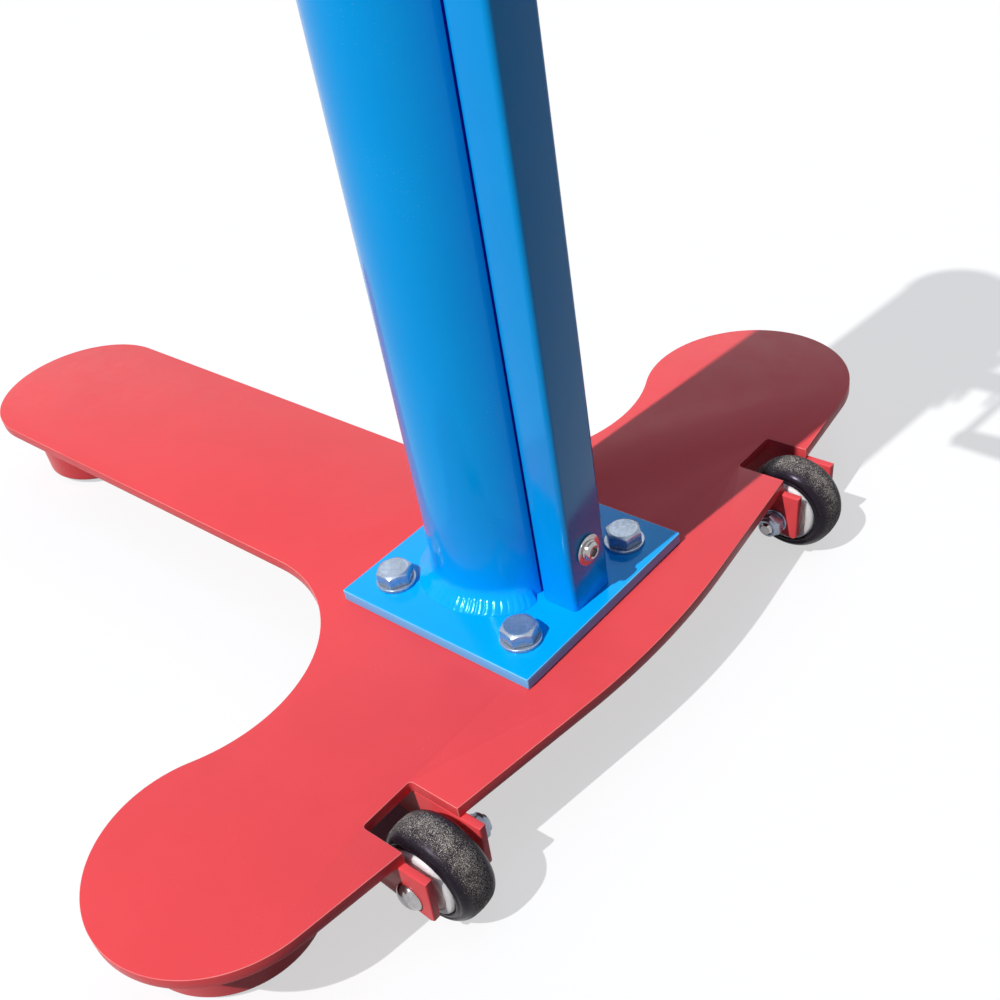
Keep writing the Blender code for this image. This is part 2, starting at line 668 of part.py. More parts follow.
def drum_mesh():
    """Rope drum turned from one piece, its ratchet teeth cut in the back flange."""
    steps = RATCHET_TEETH * 3
    bore = bore_radius(SPINDLE_RADIUS, RUN_CLEAR, steps)
    teeth = ratchet_loop()
    x1 = RATCHET_THICK
    x2 = x1 + DRUM_ROPE_WIDTH
    x3 = x2 + DRUM_FLANGE_THICK
    sections = [
        (circle(0.0, 0.0, bore, steps), 0.0),
        (teeth, 0.0),
        (teeth, x1),
        (circle(0.0, 0.0, DRUM_CORE, steps), x1),
        (circle(0.0, 0.0, DRUM_CORE, steps), x2),
        (circle(0.0, 0.0, DRUM_FLANGE, steps), x2),
        (circle(0.0, 0.0, DRUM_FLANGE, steps), x3),
        (circle(0.0, 0.0, 0.0125, steps), x3),
        (circle(0.0, 0.0, 0.0125, steps), x3 + DRUM_NOSE),
        (circle(0.0, 0.0, bore, steps), x3 + DRUM_NOSE),
    ]
    return loft([[(u, v, h) for u, v in loop] for loop, h in sections], closed=True)


def pawl_outline(tip):
    """A pawl about its own pivot: a round boss, a straight beak to the tip and a thumb tab."""
    reach = tip.length
    beak = tip / reach
    side = Vector((-beak.y, beak.x))
    boss = 0.0095
    start = math.degrees(math.atan2(beak.y, beak.x))
    loop = [tuple(tip + side * 0.0026), tuple(tip * 0.55 + side * 0.0070)]
    loop += arc(0.0, 0.0, boss, start + 62.0, start + 148.0, 6)
    loop += [tuple(-beak * 0.0155 + side * 0.0030), tuple(-beak * 0.0155 - side * 0.0030)]
    loop += arc(0.0, 0.0, boss, start + 212.0, start + 300.0, 6)
    loop += [tuple(tip * 0.62 - side * 0.0005), tuple(tip)]
    return loop


def build_winch():
    """Ratchet winch on the outer face of the side tube, its crank hanging down at rest."""
    back = WINCH_BACK
    axis_point = Vector((0.0, 0.0, WINCH_Z))
    spindle_hole = circle(0.0, 0.0, bore_radius(SPINDLE_RADIUS, HOLE_CLEAR, 28), 28)
    pivot_hole = circle(PAWL_PIVOT.y, PAWL_PIVOT.z, bore_radius(PAWL_PIN_RADIUS, HOLE_CLEAR, 20), 20)
    nut_face = CRANK_BACK + CRANK_THICK + 0.0012
    collar = DRUM_STANDOFF - 2.0 * WELD_GAP
    spindle = [
        (SPINDLE_RADIUS, 0.0005),
        (SPINDLE_RADIUS, WINCH_PLATE.thick + WELD_GAP),
        (0.0105, WINCH_PLATE.thick + WELD_GAP),
        (0.0105, WINCH_PLATE.thick + WELD_GAP + collar),
        (SPINDLE_RADIUS, WINCH_PLATE.thick + WELD_GAP + collar),
        (SPINDLE_RADIUS, nut_face + 0.014 - back),
        (SPINDLE_RADIUS * 0.85, nut_face + 0.015 - back),
    ]
    place("winch_spindle", lathe(spindle, 24), "zinc", (back, 0.0, WINCH_Z), AIM["+X"])
    m12 = SimpleNamespace(radius=SPINDLE_RADIUS, flats=0.019, nut=0.0085)
    place("spindle_nut", hex_nut(m12, nylon=0.003), "zinc", (nut_face, 0.0, WINCH_Z), AIM["+X"])

    turning = pivot("winch_axis", (DRUM_BACK, 0.0, WINCH_Z))
    place("rope_drum", drum_mesh(), "zinc", (DRUM_BACK, 0.0, WINCH_Z), UPRIGHT_YZ, parent=turning)

    half = CRANK_WIDTH / 2.0
    hub_bore = circle(0.0, 0.0, bore_radius(SPINDLE_RADIUS, HOLE_CLEAR, 28), 28)
    pin_bore = circle(0.0, -CRANK_LENGTH, bore_radius(PAWL_PIN_RADIUS, WELD_GAP, 24), 24)
    bar = arc(0.0, 0.0, half, 0.0, 180.0, 14) + arc(0.0, -CRANK_LENGTH, half, 180.0, 360.0, 14)
    crank = slab(bar, [hub_bore, pin_bore], CRANK_BACK, CRANK_BACK + CRANK_THICK, 0.0008)
    place("crank_arm", crank, "zinc", axis_point, UPRIGHT_YZ, parent=turning)

    grip_point = Vector((CRANK_BACK, 0.0, WINCH_Z - CRANK_LENGTH))
    grip_start = CRANK_THICK + GRIP_PLAY
    pin_end = grip_start + GRIP_LENGTH
    pin = [
        (0.0070, -0.0030),
        (0.0070, -WELD_GAP),
        (PAWL_PIN_RADIUS, -WELD_GAP),
        (PAWL_PIN_RADIUS, pin_end + 0.0006),
        (0.0072, pin_end + 0.0006),
        (0.0072, pin_end + 0.0022),
        (0.0050, pin_end + GRIP_HEAD),
    ]
    place("grip_pin", lathe(pin, 24), "zinc", grip_point, AIM["+X"], parent=turning)
    rolling = pivot("grip_axis", grip_point, turning)
    bore = bore_radius(PAWL_PIN_RADIUS, RUN_CLEAR, 24)
    swell = [
        (bore, grip_start),
        (0.0105, grip_start),
        (0.0118, grip_start + 0.003),
        (0.0112, grip_start + GRIP_LENGTH * 0.20),
        (GRIP_RADIUS, grip_start + GRIP_LENGTH * 0.55),
        (0.0125, grip_start + GRIP_LENGTH * 0.85),
        (0.0120, grip_start + GRIP_LENGTH - 0.003),
        (0.0100, grip_start + GRIP_LENGTH),
        (bore, grip_start + GRIP_LENGTH),
    ]
    place("crank_grip", lathe(swell, 24, closed=True), "grip", grip_point, AIM["+X"], parent=rolling)

    pawl_origin = Vector((DRUM_BACK, PAWL_PIVOT.y, WINCH_Z + PAWL_PIVOT.z))
    swing = pivot("pawl_axis", pawl_origin)
    bite = math.radians(PAWL_BITE_DEG)
    seat = Vector((math.cos(bite), math.sin(bite))) * (RATCHET_ROOT + PAWL_LIFT)
    engaged = seat - Vector((PAWL_PIVOT.y, PAWL_PIVOT.z))
    flipped = Matrix.Rotation(math.radians(PAWL_FLIP_DEG), 2) @ engaged
    pin_bore = circle(0.0, 0.0, bore_radius(PAWL_PIN_RADIUS, RUN_CLEAR, 20), 20)
    pawl = slab(pawl_outline(flipped), [pin_bore], 0.0, RATCHET_THICK, 0.0005)
    place("winch_pawl", pawl, "zinc", pawl_origin, UPRIGHT_YZ, parent=swing)
    along = flipped.normalized()
    aside = Vector((-along.y, along.x))
    rest = along * 0.026 + aside * (0.0062 + STOP_RADIUS)
    stop_hole = circle(PAWL_PIVOT.y + rest.x, PAWL_PIVOT.z + rest.y, STOP_RADIUS + HOLE_CLEAR, 20)
    holes = [spindle_hole, pivot_hole, stop_hole]
    plate = slab(winch_plate_outline(), holes, back, WINCH_FRONT, 0.0008)
    place("winch_plate", plate, "blue", axis_point, UPRIGHT_YZ)
    reach = DRUM_BACK - back + RATCHET_THICK
    stop = [(STOP_RADIUS, 0.0005), (STOP_RADIUS, reach - 0.0006), (STOP_RADIUS - 0.0006, reach)]
    stop_foot = Vector((back, pawl_origin.y + rest.x, pawl_origin.z + rest.y))
    place("pawl_stop", lathe(stop, 18), "zinc", stop_foot, AIM["+X"])
    start = DRUM_STANDOFF
    pin = [
        (PAWL_PIN_RADIUS, -start - WINCH_PLATE.thick + 0.0005),
        (PAWL_PIN_RADIUS, -start + WELD_GAP),
        (0.0062, -start + WELD_GAP),
        (0.0062, -WELD_GAP),
        (PAWL_PIN_RADIUS, -WELD_GAP),
        (PAWL_PIN_RADIUS, RATCHET_THICK + WELD_GAP),
        (0.0070, RATCHET_THICK + WELD_GAP),
        (0.0070, RATCHET_THICK + 0.0022),
        (0.0058, RATCHET_THICK + 0.0030),
    ]
    place("pawl_pin", lathe(pin, 20), "zinc", pawl_origin, AIM["+X"])


# ================================================================ build
def main():
    """Clears the scene, sets the carrying empty and builds every piece."""
    for old in list(bpy.data.objects):
        bpy.data.objects.remove(old, do_unlink=True)
    stand = bpy.data.objects.new("stand", None)
    stand.location = (POST_X, 0.0, 0.0)
    bpy.context.scene.collection.objects.link(stand)
    build_base()
    build_wheel(-1)
    build_wheel(1)
    build_flange()
    build_post()
    build_head()
    build_winch()


main()
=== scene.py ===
"""A wheeled net-post stand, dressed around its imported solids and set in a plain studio.

Each sub-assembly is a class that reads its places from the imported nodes, models its pieces
with bmesh operators, gives each its finish and hangs it on the body it moves with.
"""
from __future__ import annotations

import logging
import math
from dataclasses import dataclass, field
from enum import Enum
from typing import Any, Callable, Iterable, Sequence

import bmesh
import bpy
from bmesh.types import BMesh, BMEdge, BMFace, BMVert
from mathutils import Matrix, Vector


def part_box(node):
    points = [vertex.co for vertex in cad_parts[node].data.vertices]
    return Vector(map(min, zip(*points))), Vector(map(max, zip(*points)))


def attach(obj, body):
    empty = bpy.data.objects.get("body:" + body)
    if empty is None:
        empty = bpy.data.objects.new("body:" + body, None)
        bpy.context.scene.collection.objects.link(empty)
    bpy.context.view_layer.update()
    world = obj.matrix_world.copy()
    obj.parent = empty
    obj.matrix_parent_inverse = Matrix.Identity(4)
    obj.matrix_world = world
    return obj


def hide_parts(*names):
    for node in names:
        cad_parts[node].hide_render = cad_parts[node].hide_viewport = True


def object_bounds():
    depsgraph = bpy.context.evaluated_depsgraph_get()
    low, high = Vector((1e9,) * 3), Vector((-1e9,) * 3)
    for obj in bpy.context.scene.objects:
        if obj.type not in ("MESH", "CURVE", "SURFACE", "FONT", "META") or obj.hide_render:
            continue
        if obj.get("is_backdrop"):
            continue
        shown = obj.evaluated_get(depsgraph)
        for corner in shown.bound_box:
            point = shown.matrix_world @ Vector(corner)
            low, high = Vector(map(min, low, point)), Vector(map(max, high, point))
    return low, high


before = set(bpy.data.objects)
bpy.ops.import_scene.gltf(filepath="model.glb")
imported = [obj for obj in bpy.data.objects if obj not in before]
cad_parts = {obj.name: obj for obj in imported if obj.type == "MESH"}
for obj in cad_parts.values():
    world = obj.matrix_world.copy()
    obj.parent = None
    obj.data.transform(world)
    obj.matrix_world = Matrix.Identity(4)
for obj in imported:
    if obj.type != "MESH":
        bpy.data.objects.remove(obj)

CAD_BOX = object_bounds()
LOG = logging.getLogger("net_post_stand")

Triple = tuple[float, float, float]
Rgb = Triple
Corner = Triple
FULL_TURN = 2.0 * math.pi
MERGE = 1e-6
FLAT_ENOUGH = math.radians(0.6)
LOW, HIGH = 0, 1
SEAT_GAP = 0.0003
# An edge's paint starts to pale, as thin paint and as a painted highlight, at a bend of this many degrees,
# and is palest so many further on.
PALE_FROM, PALE_OVER = 18.0, 8.0
# A colour Mix node's sockets go by number, because its inputs of every type share their names.
MIX_FACTOR, MIX_FIRST, MIX_SECOND, MIX_RESULT = 0, 6, 7, 2


class Slot(Enum):
    """The record's material slots."""

    RED = "red_powder_coat"
    BLUE = "blue_powder_coat"
    ZINC = "zinc_plated_steel"
    STAINLESS = "stainless_steel"
    TYRE = "tyre_rubber"
    SOLE = "foot_rubber"
    NYLON = "white_nylon"
    GRIP = "black_grip"


class Layer(Enum):
    """The vertex layers that finishes follow."""

    CROWN = "crown"
    # Marks the post's strip facing the tube, which takes a painted shade for the gap.
    PAINTED_GAP_SHADE = "painted_gap_shade"
    # Marks a plate's sides, which take a painted side light.
    PAINTED_SIDE_LIGHT = "painted_side_light"
    # Marks rounded edges, whose pale paint is both thin paint and a painted highlight.
    THIN_PAINT_AND_HIGHLIGHT = "thin_paint_and_highlight"


class Side(Enum):
    """The two sides of the stand, by the sign of Y."""

    LEFT = -1
    RIGHT = 1

    @property
    def label(self) -> str:
        """The side's word in node names."""
        return self.name.lower()


class Facing(Enum):
    """Where a turned or extruded piece's own +Z axis is sent."""

    UP = "up"
    DOWN = "down"
    LEFT = "left"
    RIGHT = "right"
    FRONT = "front"

    @property
    def matrix(self) -> Matrix:
        """The rotation that sends +Z that way.

        Returns:
            The rotation.
        """
        quarter = math.pi / 2.0
        return {
            Facing.UP: Matrix.Identity(4),
            Facing.DOWN: Matrix.Rotation(math.pi, 4, "X"),
            Facing.LEFT: Matrix.Rotation(quarter, 4, "X"),
            Facing.RIGHT: Matrix.Rotation(-quarter, 4, "X"),
            Facing.FRONT: Matrix.Rotation(quarter, 4, "Y"),
        }[self]


# ---------------------------------------------------------------------------- material graph
@dataclass(frozen=True)
class Pattern:
    """A noise: its features to the metre, its finer layers and their strength, and how far it is pulled."""

    scale: float
    detail: float = 2.0
    rough: float = 0.5
    distort: float = 0.0


class Graph:
    """A material's node tree, with short calls for the nodes that the finishes share."""

    def __init__(self, name: str) -> None:
        """Starts a material with an empty Principled shader.

        Args:
            name: the material's name.
        """
        self.material = bpy.data.materials.new(name)
        self.material.use_nodes = True
        self.tree = self.material.node_tree
        self.shader = self.tree.nodes["Principled BSDF"]

    def set(self, **values: Any) -> None:
        """Sets plain values on the shader's own sockets, named with underscores for blanks."""
        for name, value in values.items():
            self.shader.inputs[name.replace("_", " ")].default_value = value

    def node(self, kind: str, **settings: Any) -> bpy.types.Node:
        """Adds a node and sets its properties.

        Args:
            kind: the node's type.
            settings: its properties, by name.

        Returns:
            The node.
        """
        made = self.tree.nodes.new(kind)
        for name, value in settings.items():
            setattr(made, name, value)
        return made

    def join(self, source: Any, target: Any) -> None:
        """Links an output socket to an input socket."""
        self.tree.links.new(source, target)

    def place(self, turn: Triple | None = None, stretch: Triple = (1.0, 1.0, 1.0)) -> Any:
        """Object coordinates, turned and stretched for a pattern.

        Args:
            turn: the pattern's rotation in radians, where it has one.
            stretch: the pattern's scale on each axis.

        Returns:
            The vector socket.
        """
        source = self.node("ShaderNodeTexCoord").outputs["Object"]
        if turn is None:
            return source
        scale = self.node("ShaderNodeMapping", vector_type="POINT")
        scale.inputs["Rotation"].default_value = turn
        scale.inputs["Scale"].default_value = stretch
        self.join(source, scale.inputs["Vector"])
        return scale.outputs["Vector"]

    def layer(self, layer: Layer) -> Any:
        """A vertex layer's value, which is 0 on a piece without it."""
        return self.node("ShaderNodeAttribute", attribute_name=layer.value).outputs["Fac"]

    def noise(self, vector: Any, pattern: Pattern) -> Any:
        """A noise texture.

        Args:
            vector: the coordinates' socket.
            pattern: the noise's settings.

        Returns:
            The factor's socket.
        """
        made = self.node("ShaderNodeTexNoise")
        self.join(vector, made.inputs["Vector"])
        made.inputs["Scale"].default_value = pattern.scale
        made.inputs["Detail"].default_value = pattern.detail
        made.inputs["Roughness"].default_value = pattern.rough
        made.inputs["Distortion"].default_value = pattern.distort
        return made.outputs["Fac"]

    def spread(
        self, value: Any, low: float, high: float,
        to_low: float = 0.0, to_high: float = 1.0, smooth: bool = False,
    ) -> Any:
        """Maps low..high onto to_low..to_high, and holds the ends.

        Args:
            value: the socket to map.
            low: the value that gives to_low.
            high: the value that gives to_high.
            to_low: the result at low.
            to_high: the result at high.
            smooth: whether the change eases in and out.

        Returns:
            The result's socket.
        """
        made = self.node("ShaderNodeMapRange", clamp=True)
        if smooth:
            made.interpolation_type = "SMOOTHSTEP"
        numbers = {"From Min": low, "From Max": high, "To Min": to_low, "To Max": to_high}
        for name, number in numbers.items():
            made.inputs[name].default_value = number
        self.join(value, made.inputs["Value"])
        return made.outputs["Result"]

    def math(self, operation: str, first: Any, second: Any) -> Any:
        """One Math node.

        Args:
            operation: the node's operation.
            first: a socket or a plain number.
            second: a socket or a plain number.

        Returns:
            The result's socket.
        """
        made = self.node("ShaderNodeMath", operation=operation)
        for socket, value in zip(made.inputs, (first, second)):
            if isinstance(value, (int, float)):
                socket.default_value = value
            else:
                self.join(value, socket)
        return made.outputs[0]

    def times(self, first: Any, second: Any) -> Any:
        """The product of two sockets or plain numbers."""
        return self.math("MULTIPLY", first, second)

    def plus(self, first: Any, second: Any) -> Any:
        """The sum of two sockets or plain numbers."""
        return self.math("ADD", first, second)

    def blend(self, factor: Any, first: Any, second: Any) -> Any:
        """A mix of two colours.

        Args:
            factor: the socket that gives the second colour's share.
            first: a socket or a plain colour.
            second: a socket or a plain colour.

        Returns:
            The colour's socket.
        """
        made = self.node("ShaderNodeMix", data_type="RGBA")
        self.join(factor, made.inputs[MIX_FACTOR])
        for socket, value in ((made.inputs[MIX_FIRST], first), (made.inputs[MIX_SECOND], second)):
            if isinstance(value, tuple):
                socket.default_value = (*value, 1.0)
            else:
                self.join(value, socket)
        return made.outputs[MIX_RESULT]

    def bump(self, height: Any, depth: float, strength: float = 1.0, under: Any = None) -> Any:
        """A bump normal.

        Args:
            height: the height's socket, 0 to 1.
            depth: what a height of 1 stands for, in metres.
            strength: the bump's share.
            under: a normal to build on.

        Returns:
            The normal's socket.
        """
        made = self.node("ShaderNodeBump")
        made.inputs["Distance"].default_value = depth
        made.inputs["Strength"].default_value = strength
        self.join(height, made.inputs["Height"])
        if under is not None:
            self.join(under, made.inputs["Normal"])
        return made.outputs["Normal"]

    def shade(self, **sockets: Any) -> bpy.types.Material:
        """Links sockets to the shader's inputs.

        Args:
            sockets: the sockets, by the name of the input with underscores for blanks.

        Returns:
            The material.
        """
        for name, socket in sockets.items():
            self.join(socket, self.shader.inputs[name.replace("_", " ")])
        return self.material


# ---------------------------------------------------------------------------- finishes
def tinted(colour: Rgb, share: float) -> Rgb:
    """A colour made lighter or darker by a share of itself."""
    return tuple(max(0.0, min(1.0, c * share)) for c in colour)


@dataclass(frozen=True)
class PowderCoat:
    """Baked powder paint: fine orange peel, a little dust, pale edges that are both thin paint and a
    painted highlight, and where set a painted gap shade and a painted side light.
    """

    name: str
    colour: Rgb
    sheen: Rgb
    # The edges' pale colour, which stands both for thin paint and for a painted highlight.
    edge: Rgb
    roughness: float
    specular: float
    # The colour of a painted shade that darkens the post's strip in its gap with the tube.
    painted_gap_shade: Rgb | None = None
    # The colour of a painted side light, lighter than the paint, on a plate's sides.
    painted_side_light: Rgb | None = None
    dust: float = 0.10
    dust_colour: Rgb = (0.72, 0.68, 0.66)
    patches: Pattern = Pattern(14.0, 4.0, 0.55)
    specks: Pattern = Pattern(900.0)
    rubbing: Pattern = Pattern(55.0, 5.0, 0.62, 0.4)
    fine: Pattern = Pattern(420.0, 3.0, 0.6)
    peel: Pattern = Pattern(625.0, 1.5, 0.45)
    waves: Pattern = Pattern(95.0, 1.0, 0.4)
    peel_depth: float = 2.2e-5
    wave_depth: float = 1.2e-4

    def material(self) -> bpy.types.Material:
        """Builds the finish's material.

        Returns:
            The material.
        """
        graph = Graph(self.name)
        where = graph.place()
        graph.set(Metallic=0.0, Specular_IOR_Level=self.specular, Specular_Tint=(*self.sheen, 1.0))
        rubbed = graph.spread(graph.noise(where, self.rubbing), 0.42, 0.66, -0.03, 0.04)
        fine = graph.noise(where, self.fine)
        even = graph.spread(fine, 0.3, 0.7, self.roughness - 0.02, self.roughness + 0.03)
        waves = graph.bump(graph.noise(where, self.waves), self.wave_depth, 0.20)
        peel = graph.noise(where, self.peel)
        return graph.shade(
            Base_Color=self._colour(graph, where),
            Roughness=graph.plus(rubbed, even),
            Normal=graph.bump(peel, self.peel_depth, 0.55, waves),
        )

    def _colour(self, graph: Graph, where: Any) -> Any:
        """The paint's colour: faint patches, dust, and the tones that the vertex layers mark, which are a
        painted shade in a gap, a painted side light on sides, and pale edges that are thin paint and a
        painted highlight.

        Args:
            graph: the material's nodes.
            where: the coordinates' socket.

        Returns:
            The colour's socket.
        """
        patches = graph.noise(where, self.patches)
        dark, light = tinted(self.colour, 0.975), tinted(self.colour, 1.02)
        colour = graph.blend(graph.spread(patches, 0.35, 0.68), dark, light)
        specks = graph.spread(graph.noise(where, self.specks), 0.66, 0.74, 0.0, self.dust)
        dusty = graph.times(specks, graph.spread(patches, 0.45, 0.62))
        colour = graph.blend(dusty, colour, self.dust_colour)
        # Painted side light: the marked sides are lightened towards this colour, for light thrown onto
        # them.
        if self.painted_side_light is not None:
            colour = graph.blend(graph.layer(Layer.PAINTED_SIDE_LIGHT), colour, self.painted_side_light)
        # Painted shade: the post's strip facing the tube is darkened towards this colour, for the shade in
        # the gap.
        if self.painted_gap_shade is not None:
            deep = graph.spread(graph.layer(Layer.PAINTED_GAP_SHADE), 0.28, 0.52, smooth=True)
            colour = graph.blend(deep, colour, self.painted_gap_shade)
        # Pale edges, both thin paint and a painted highlight.
        uneven = graph.spread(patches, 0.30, 0.60, 0.35, 0.85)
        return graph.blend(graph.times(graph.layer(Layer.THIN_PAINT_AND_HIGHLIGHT), uneven), colour, self.edge)


@dataclass(frozen=True)
class PlatedSteel:
    """Bright plated or plain stainless steel, with fine marks, a faint tint, stains and painted glints."""

    name: str
    colour: Rgb
    tint: Rgb
    roughness: float
    marks: float
    metallic: float
    stains_and_glints: float
    stain_shade: float = 0.45
    # The colour of the painted glints.
    glint: Rgb = (0.86, 0.88, 0.92)
    specular: float = 0.5
    clouds: Pattern = Pattern(220.0, 4.0, 0.62, 0.8)
    stains: Pattern = Pattern(430.0, 4.0, 0.74, 0.6)
    glints: Pattern = Pattern(700.0, 3.0, 0.7)
    scratches: Pattern = Pattern(260.0, 3.0, 0.6)
    pits: Pattern = Pattern(760.0, 3.0, 0.6)
    scratch_turn: Triple = (0.3, 0.2, 0.5)
    scratch_stretch: Triple = (1.0, 14.0, 5.0)
    scratch_depth: float = 3.0e-5
    pit_depth: float = 6.0e-5

    def material(self) -> bpy.types.Material:
        """Builds the finish's material.

        Returns:
            The material.
        """
        graph = Graph(self.name)
        where = graph.place()
        graph.set(Metallic=self.metallic, Specular_IOR_Level=self.specular)
        clouds = graph.noise(where, self.clouds)
        colour = graph.blend(graph.spread(clouds, 0.36, 0.64), self.colour, self.tint)
        stains = graph.spread(graph.noise(where, self.stains), 0.50, 0.62, 0.0, self.stains_and_glints)
        colour = graph.blend(stains, colour, tinted(self.colour, self.stain_shade))
        # Painted glints: pale specks in the colour that stand for sparkle off the metal.
        glints = graph.spread(graph.noise(where, self.glints), 0.58, 0.68, 0.0, self.stains_and_glints)
        colour = graph.blend(glints, colour, self.glint)
        rough = graph.spread(clouds, 0.3, 0.7, self.roughness - 0.06, self.roughness + 0.10)
        drawn = graph.place(self.scratch_turn, self.scratch_stretch)
        scratches = graph.noise(drawn, self.scratches)
        pits = graph.bump(graph.noise(where, self.pits), self.pit_depth, self.marks)
        normal = graph.bump(scratches, self.scratch_depth, self.marks, pits)
        return graph.shade(Base_Color=colour, Roughness=rough, Normal=normal)


@dataclass(frozen=True)
class WornTyre:
    """Moulded rubber that is glossy on its shoulders and scuffed pale along its crown."""

    name: str
    rubber: Rgb
    scuff: Rgb
    sheen: Rgb = (0.85, 0.75, 1.0)
    specular: float = 0.16
    clumps: Pattern = Pattern(120.0, 3.0, 0.6, 0.5)
    grit: Pattern = Pattern(2100.0, 1.0)
    coarse: Pattern = Pattern(900.0, 2.0, 0.6)
    coarse_share: float = 0.28
    haze: float = 0.060
    glossy: float = 0.22
    matt: float = 0.75
    grit_depth: float = 1.6e-4

    def material(self) -> bpy.types.Material:
        """Builds the finish's material.

        Returns:
            The material.
        """
        graph = Graph(self.name)
        where = graph.place()
        graph.set(Metallic=0.0, Specular_IOR_Level=self.specular, Specular_Tint=(*self.sheen, 1.0))
        clumps = graph.spread(graph.noise(where, self.clumps), 0.28, 0.62, 0.40, 1.0)
        worn = graph.times(graph.layer(Layer.CROWN), clumps)
        grit = graph.noise(where, self.grit)
        coarse = graph.times(graph.noise(where, self.coarse), self.coarse_share)
        mixed = graph.plus(graph.times(grit, 1.0 - self.coarse_share), coarse)
        specks = graph.spread(graph.plus(mixed, graph.times(worn, 0.15)), 0.61, 0.715)
        marked = graph.times(specks, graph.spread(worn, 0.0, 0.5, 0.10, 0.90))
        cover = graph.math("MAXIMUM", graph.times(worn, self.haze), marked)
        height = graph.plus(graph.times(grit, worn), graph.times(specks, 0.4))
        return graph.shade(
            Base_Color=graph.blend(cover, self.rubber, self.scuff),
            Roughness=graph.spread(worn, 0.0, 0.6, self.glossy, self.matt),
            Normal=graph.bump(height, self.grit_depth, 0.8),
        )


@dataclass(frozen=True)
class Moulding:
    """Moulded plastic or plain rubber: a fine grain, soft mottling and light handling marks."""

    name: str
    colour: Rgb
    grime: Rgb
    roughness: float
    grain_pitch: float
    grain_depth: float
    soiling: float
    glow: float = 0.0
    specular: float = 0.45
    mottle: Pattern = Pattern(90.0, 4.0, 0.6, 0.3)
    glow_reach: float = 0.012
    glow_colour: Rgb = (1.0, 0.9, 0.8)

    def material(self) -> bpy.types.Material:
        """Builds the finish's material.

        Returns:
            The material.
        """
        graph = Graph(self.name)
        where = graph.place()
        graph.set(Metallic=0.0, Specular_IOR_Level=self.specular)
        if self.glow > 0.0:
            graph.set(Subsurface_Weight=self.glow, Subsurface_Scale=self.glow_reach)
            graph.set(Subsurface_Radius=self.glow_colour)
        mottle = graph.noise(where, self.mottle)
        soiled = graph.spread(mottle, 0.48, 0.74, 0.0, self.soiling)
        grain = graph.noise(where, Pattern(1.0 / self.grain_pitch))
        return graph.shade(
            Base_Color=graph.blend(soiled, self.colour, self.grime),
            Roughness=graph.spread(mottle, 0.3, 0.7, self.roughness - 0.05, self.roughness + 0.08),
            Normal=graph.bump(grain, self.grain_depth, 0.7),
        )


@dataclass(frozen=True)
class Finishes:
    """The stand's finishes, one to each material slot."""

    red: PowderCoat = PowderCoat(
        "red_powder_coat", colour=(0.84, 0.078, 0.085), sheen=(0.8, 0.75, 1.0),
        # edge: pale thin paint that also stands as a painted highlight on the edges.
        edge=(1.0, 0.34, 0.31), roughness=0.34, specular=0.14,
    )
    blue: PowderCoat = PowderCoat(
        "blue_powder_coat", colour=(0.0, 0.41, 1.0), sheen=(0.20, 0.66, 1.0),
        # edge: pale thin paint that also stands as a painted highlight on the edges.
        edge=(0.36, 0.80, 1.0), roughness=0.13, specular=0.34,
        # A painted shade darkens the post's strip in its gap with the tube; a painted side light lightens
        # the flange's sides.
        painted_gap_shade=(0.010, 0.010, 0.32), painted_side_light=(0.14, 0.55, 1.0),
    )
    zinc: PlatedSteel = PlatedSteel(
        "zinc_plate", colour=(0.41, 0.48, 0.58), tint=(0.31, 0.37, 0.47),
        roughness=0.28, marks=0.55, metallic=0.65, stains_and_glints=0.32,
    )
    stainless: PlatedSteel = PlatedSteel(
        "stainless_steel", colour=(0.46, 0.45, 0.45), tint=(0.34, 0.33, 0.34),
        roughness=0.14, marks=0.12, metallic=0.95, stains_and_glints=0.08,
    )
    tyre: WornTyre = WornTyre("scuffed_tyre", rubber=(0.013, 0.009, 0.014), scuff=(0.74, 0.67, 0.58))
    sole: Moulding = Moulding(
        "foot_rubber", colour=(0.020, 0.020, 0.021), grime=(0.11, 0.10, 0.09),
        roughness=0.70, grain_pitch=1.2e-3, grain_depth=1.5e-4, soiling=0.4,
    )
    nylon: Moulding = Moulding(
        "white_nylon", colour=(0.90, 0.88, 0.84), grime=(0.56, 0.52, 0.46),
        roughness=0.40, grain_pitch=0.9e-3, grain_depth=3.0e-5, soiling=0.18, glow=0.6,
    )
    grip: Moulding = Moulding(
        "black_grip", colour=(0.018, 0.018, 0.020), grime=(0.07, 0.065, 0.06),
        roughness=0.48, grain_pitch=1.0e-3, grain_depth=8.0e-5, soiling=0.3,
    )

    def palette(self) -> dict[Slot, bpy.types.Material]:
        """Builds every slot's material.

        Returns:
            The materials, by slot.
        """
        return {
            Slot.RED: self.red.material(),
            Slot.BLUE: self.blue.material(),
            Slot.ZINC: self.zinc.material(),
            Slot.STAINLESS: self.stainless.material(),
            Slot.TYRE: self.tyre.material(),
            Slot.SOLE: self.sole.material(),
            Slot.NYLON: self.nylon.material(),
            Slot.GRIP: self.grip.material(),
        }


# ---------------------------------------------------------------------------- modelling tools
def turned_faces_out(bm: BMesh) -> BMesh:
    """Merges doubles and points every face outwards.

    Args:
        bm: the solid.

    Returns:
        The same solid.
    """
    bmesh.ops.remove_doubles(bm, verts=bm.verts[:], dist=MERGE)
    bmesh.ops.recalc_face_normals(bm, faces=bm.faces[:])
    return bm


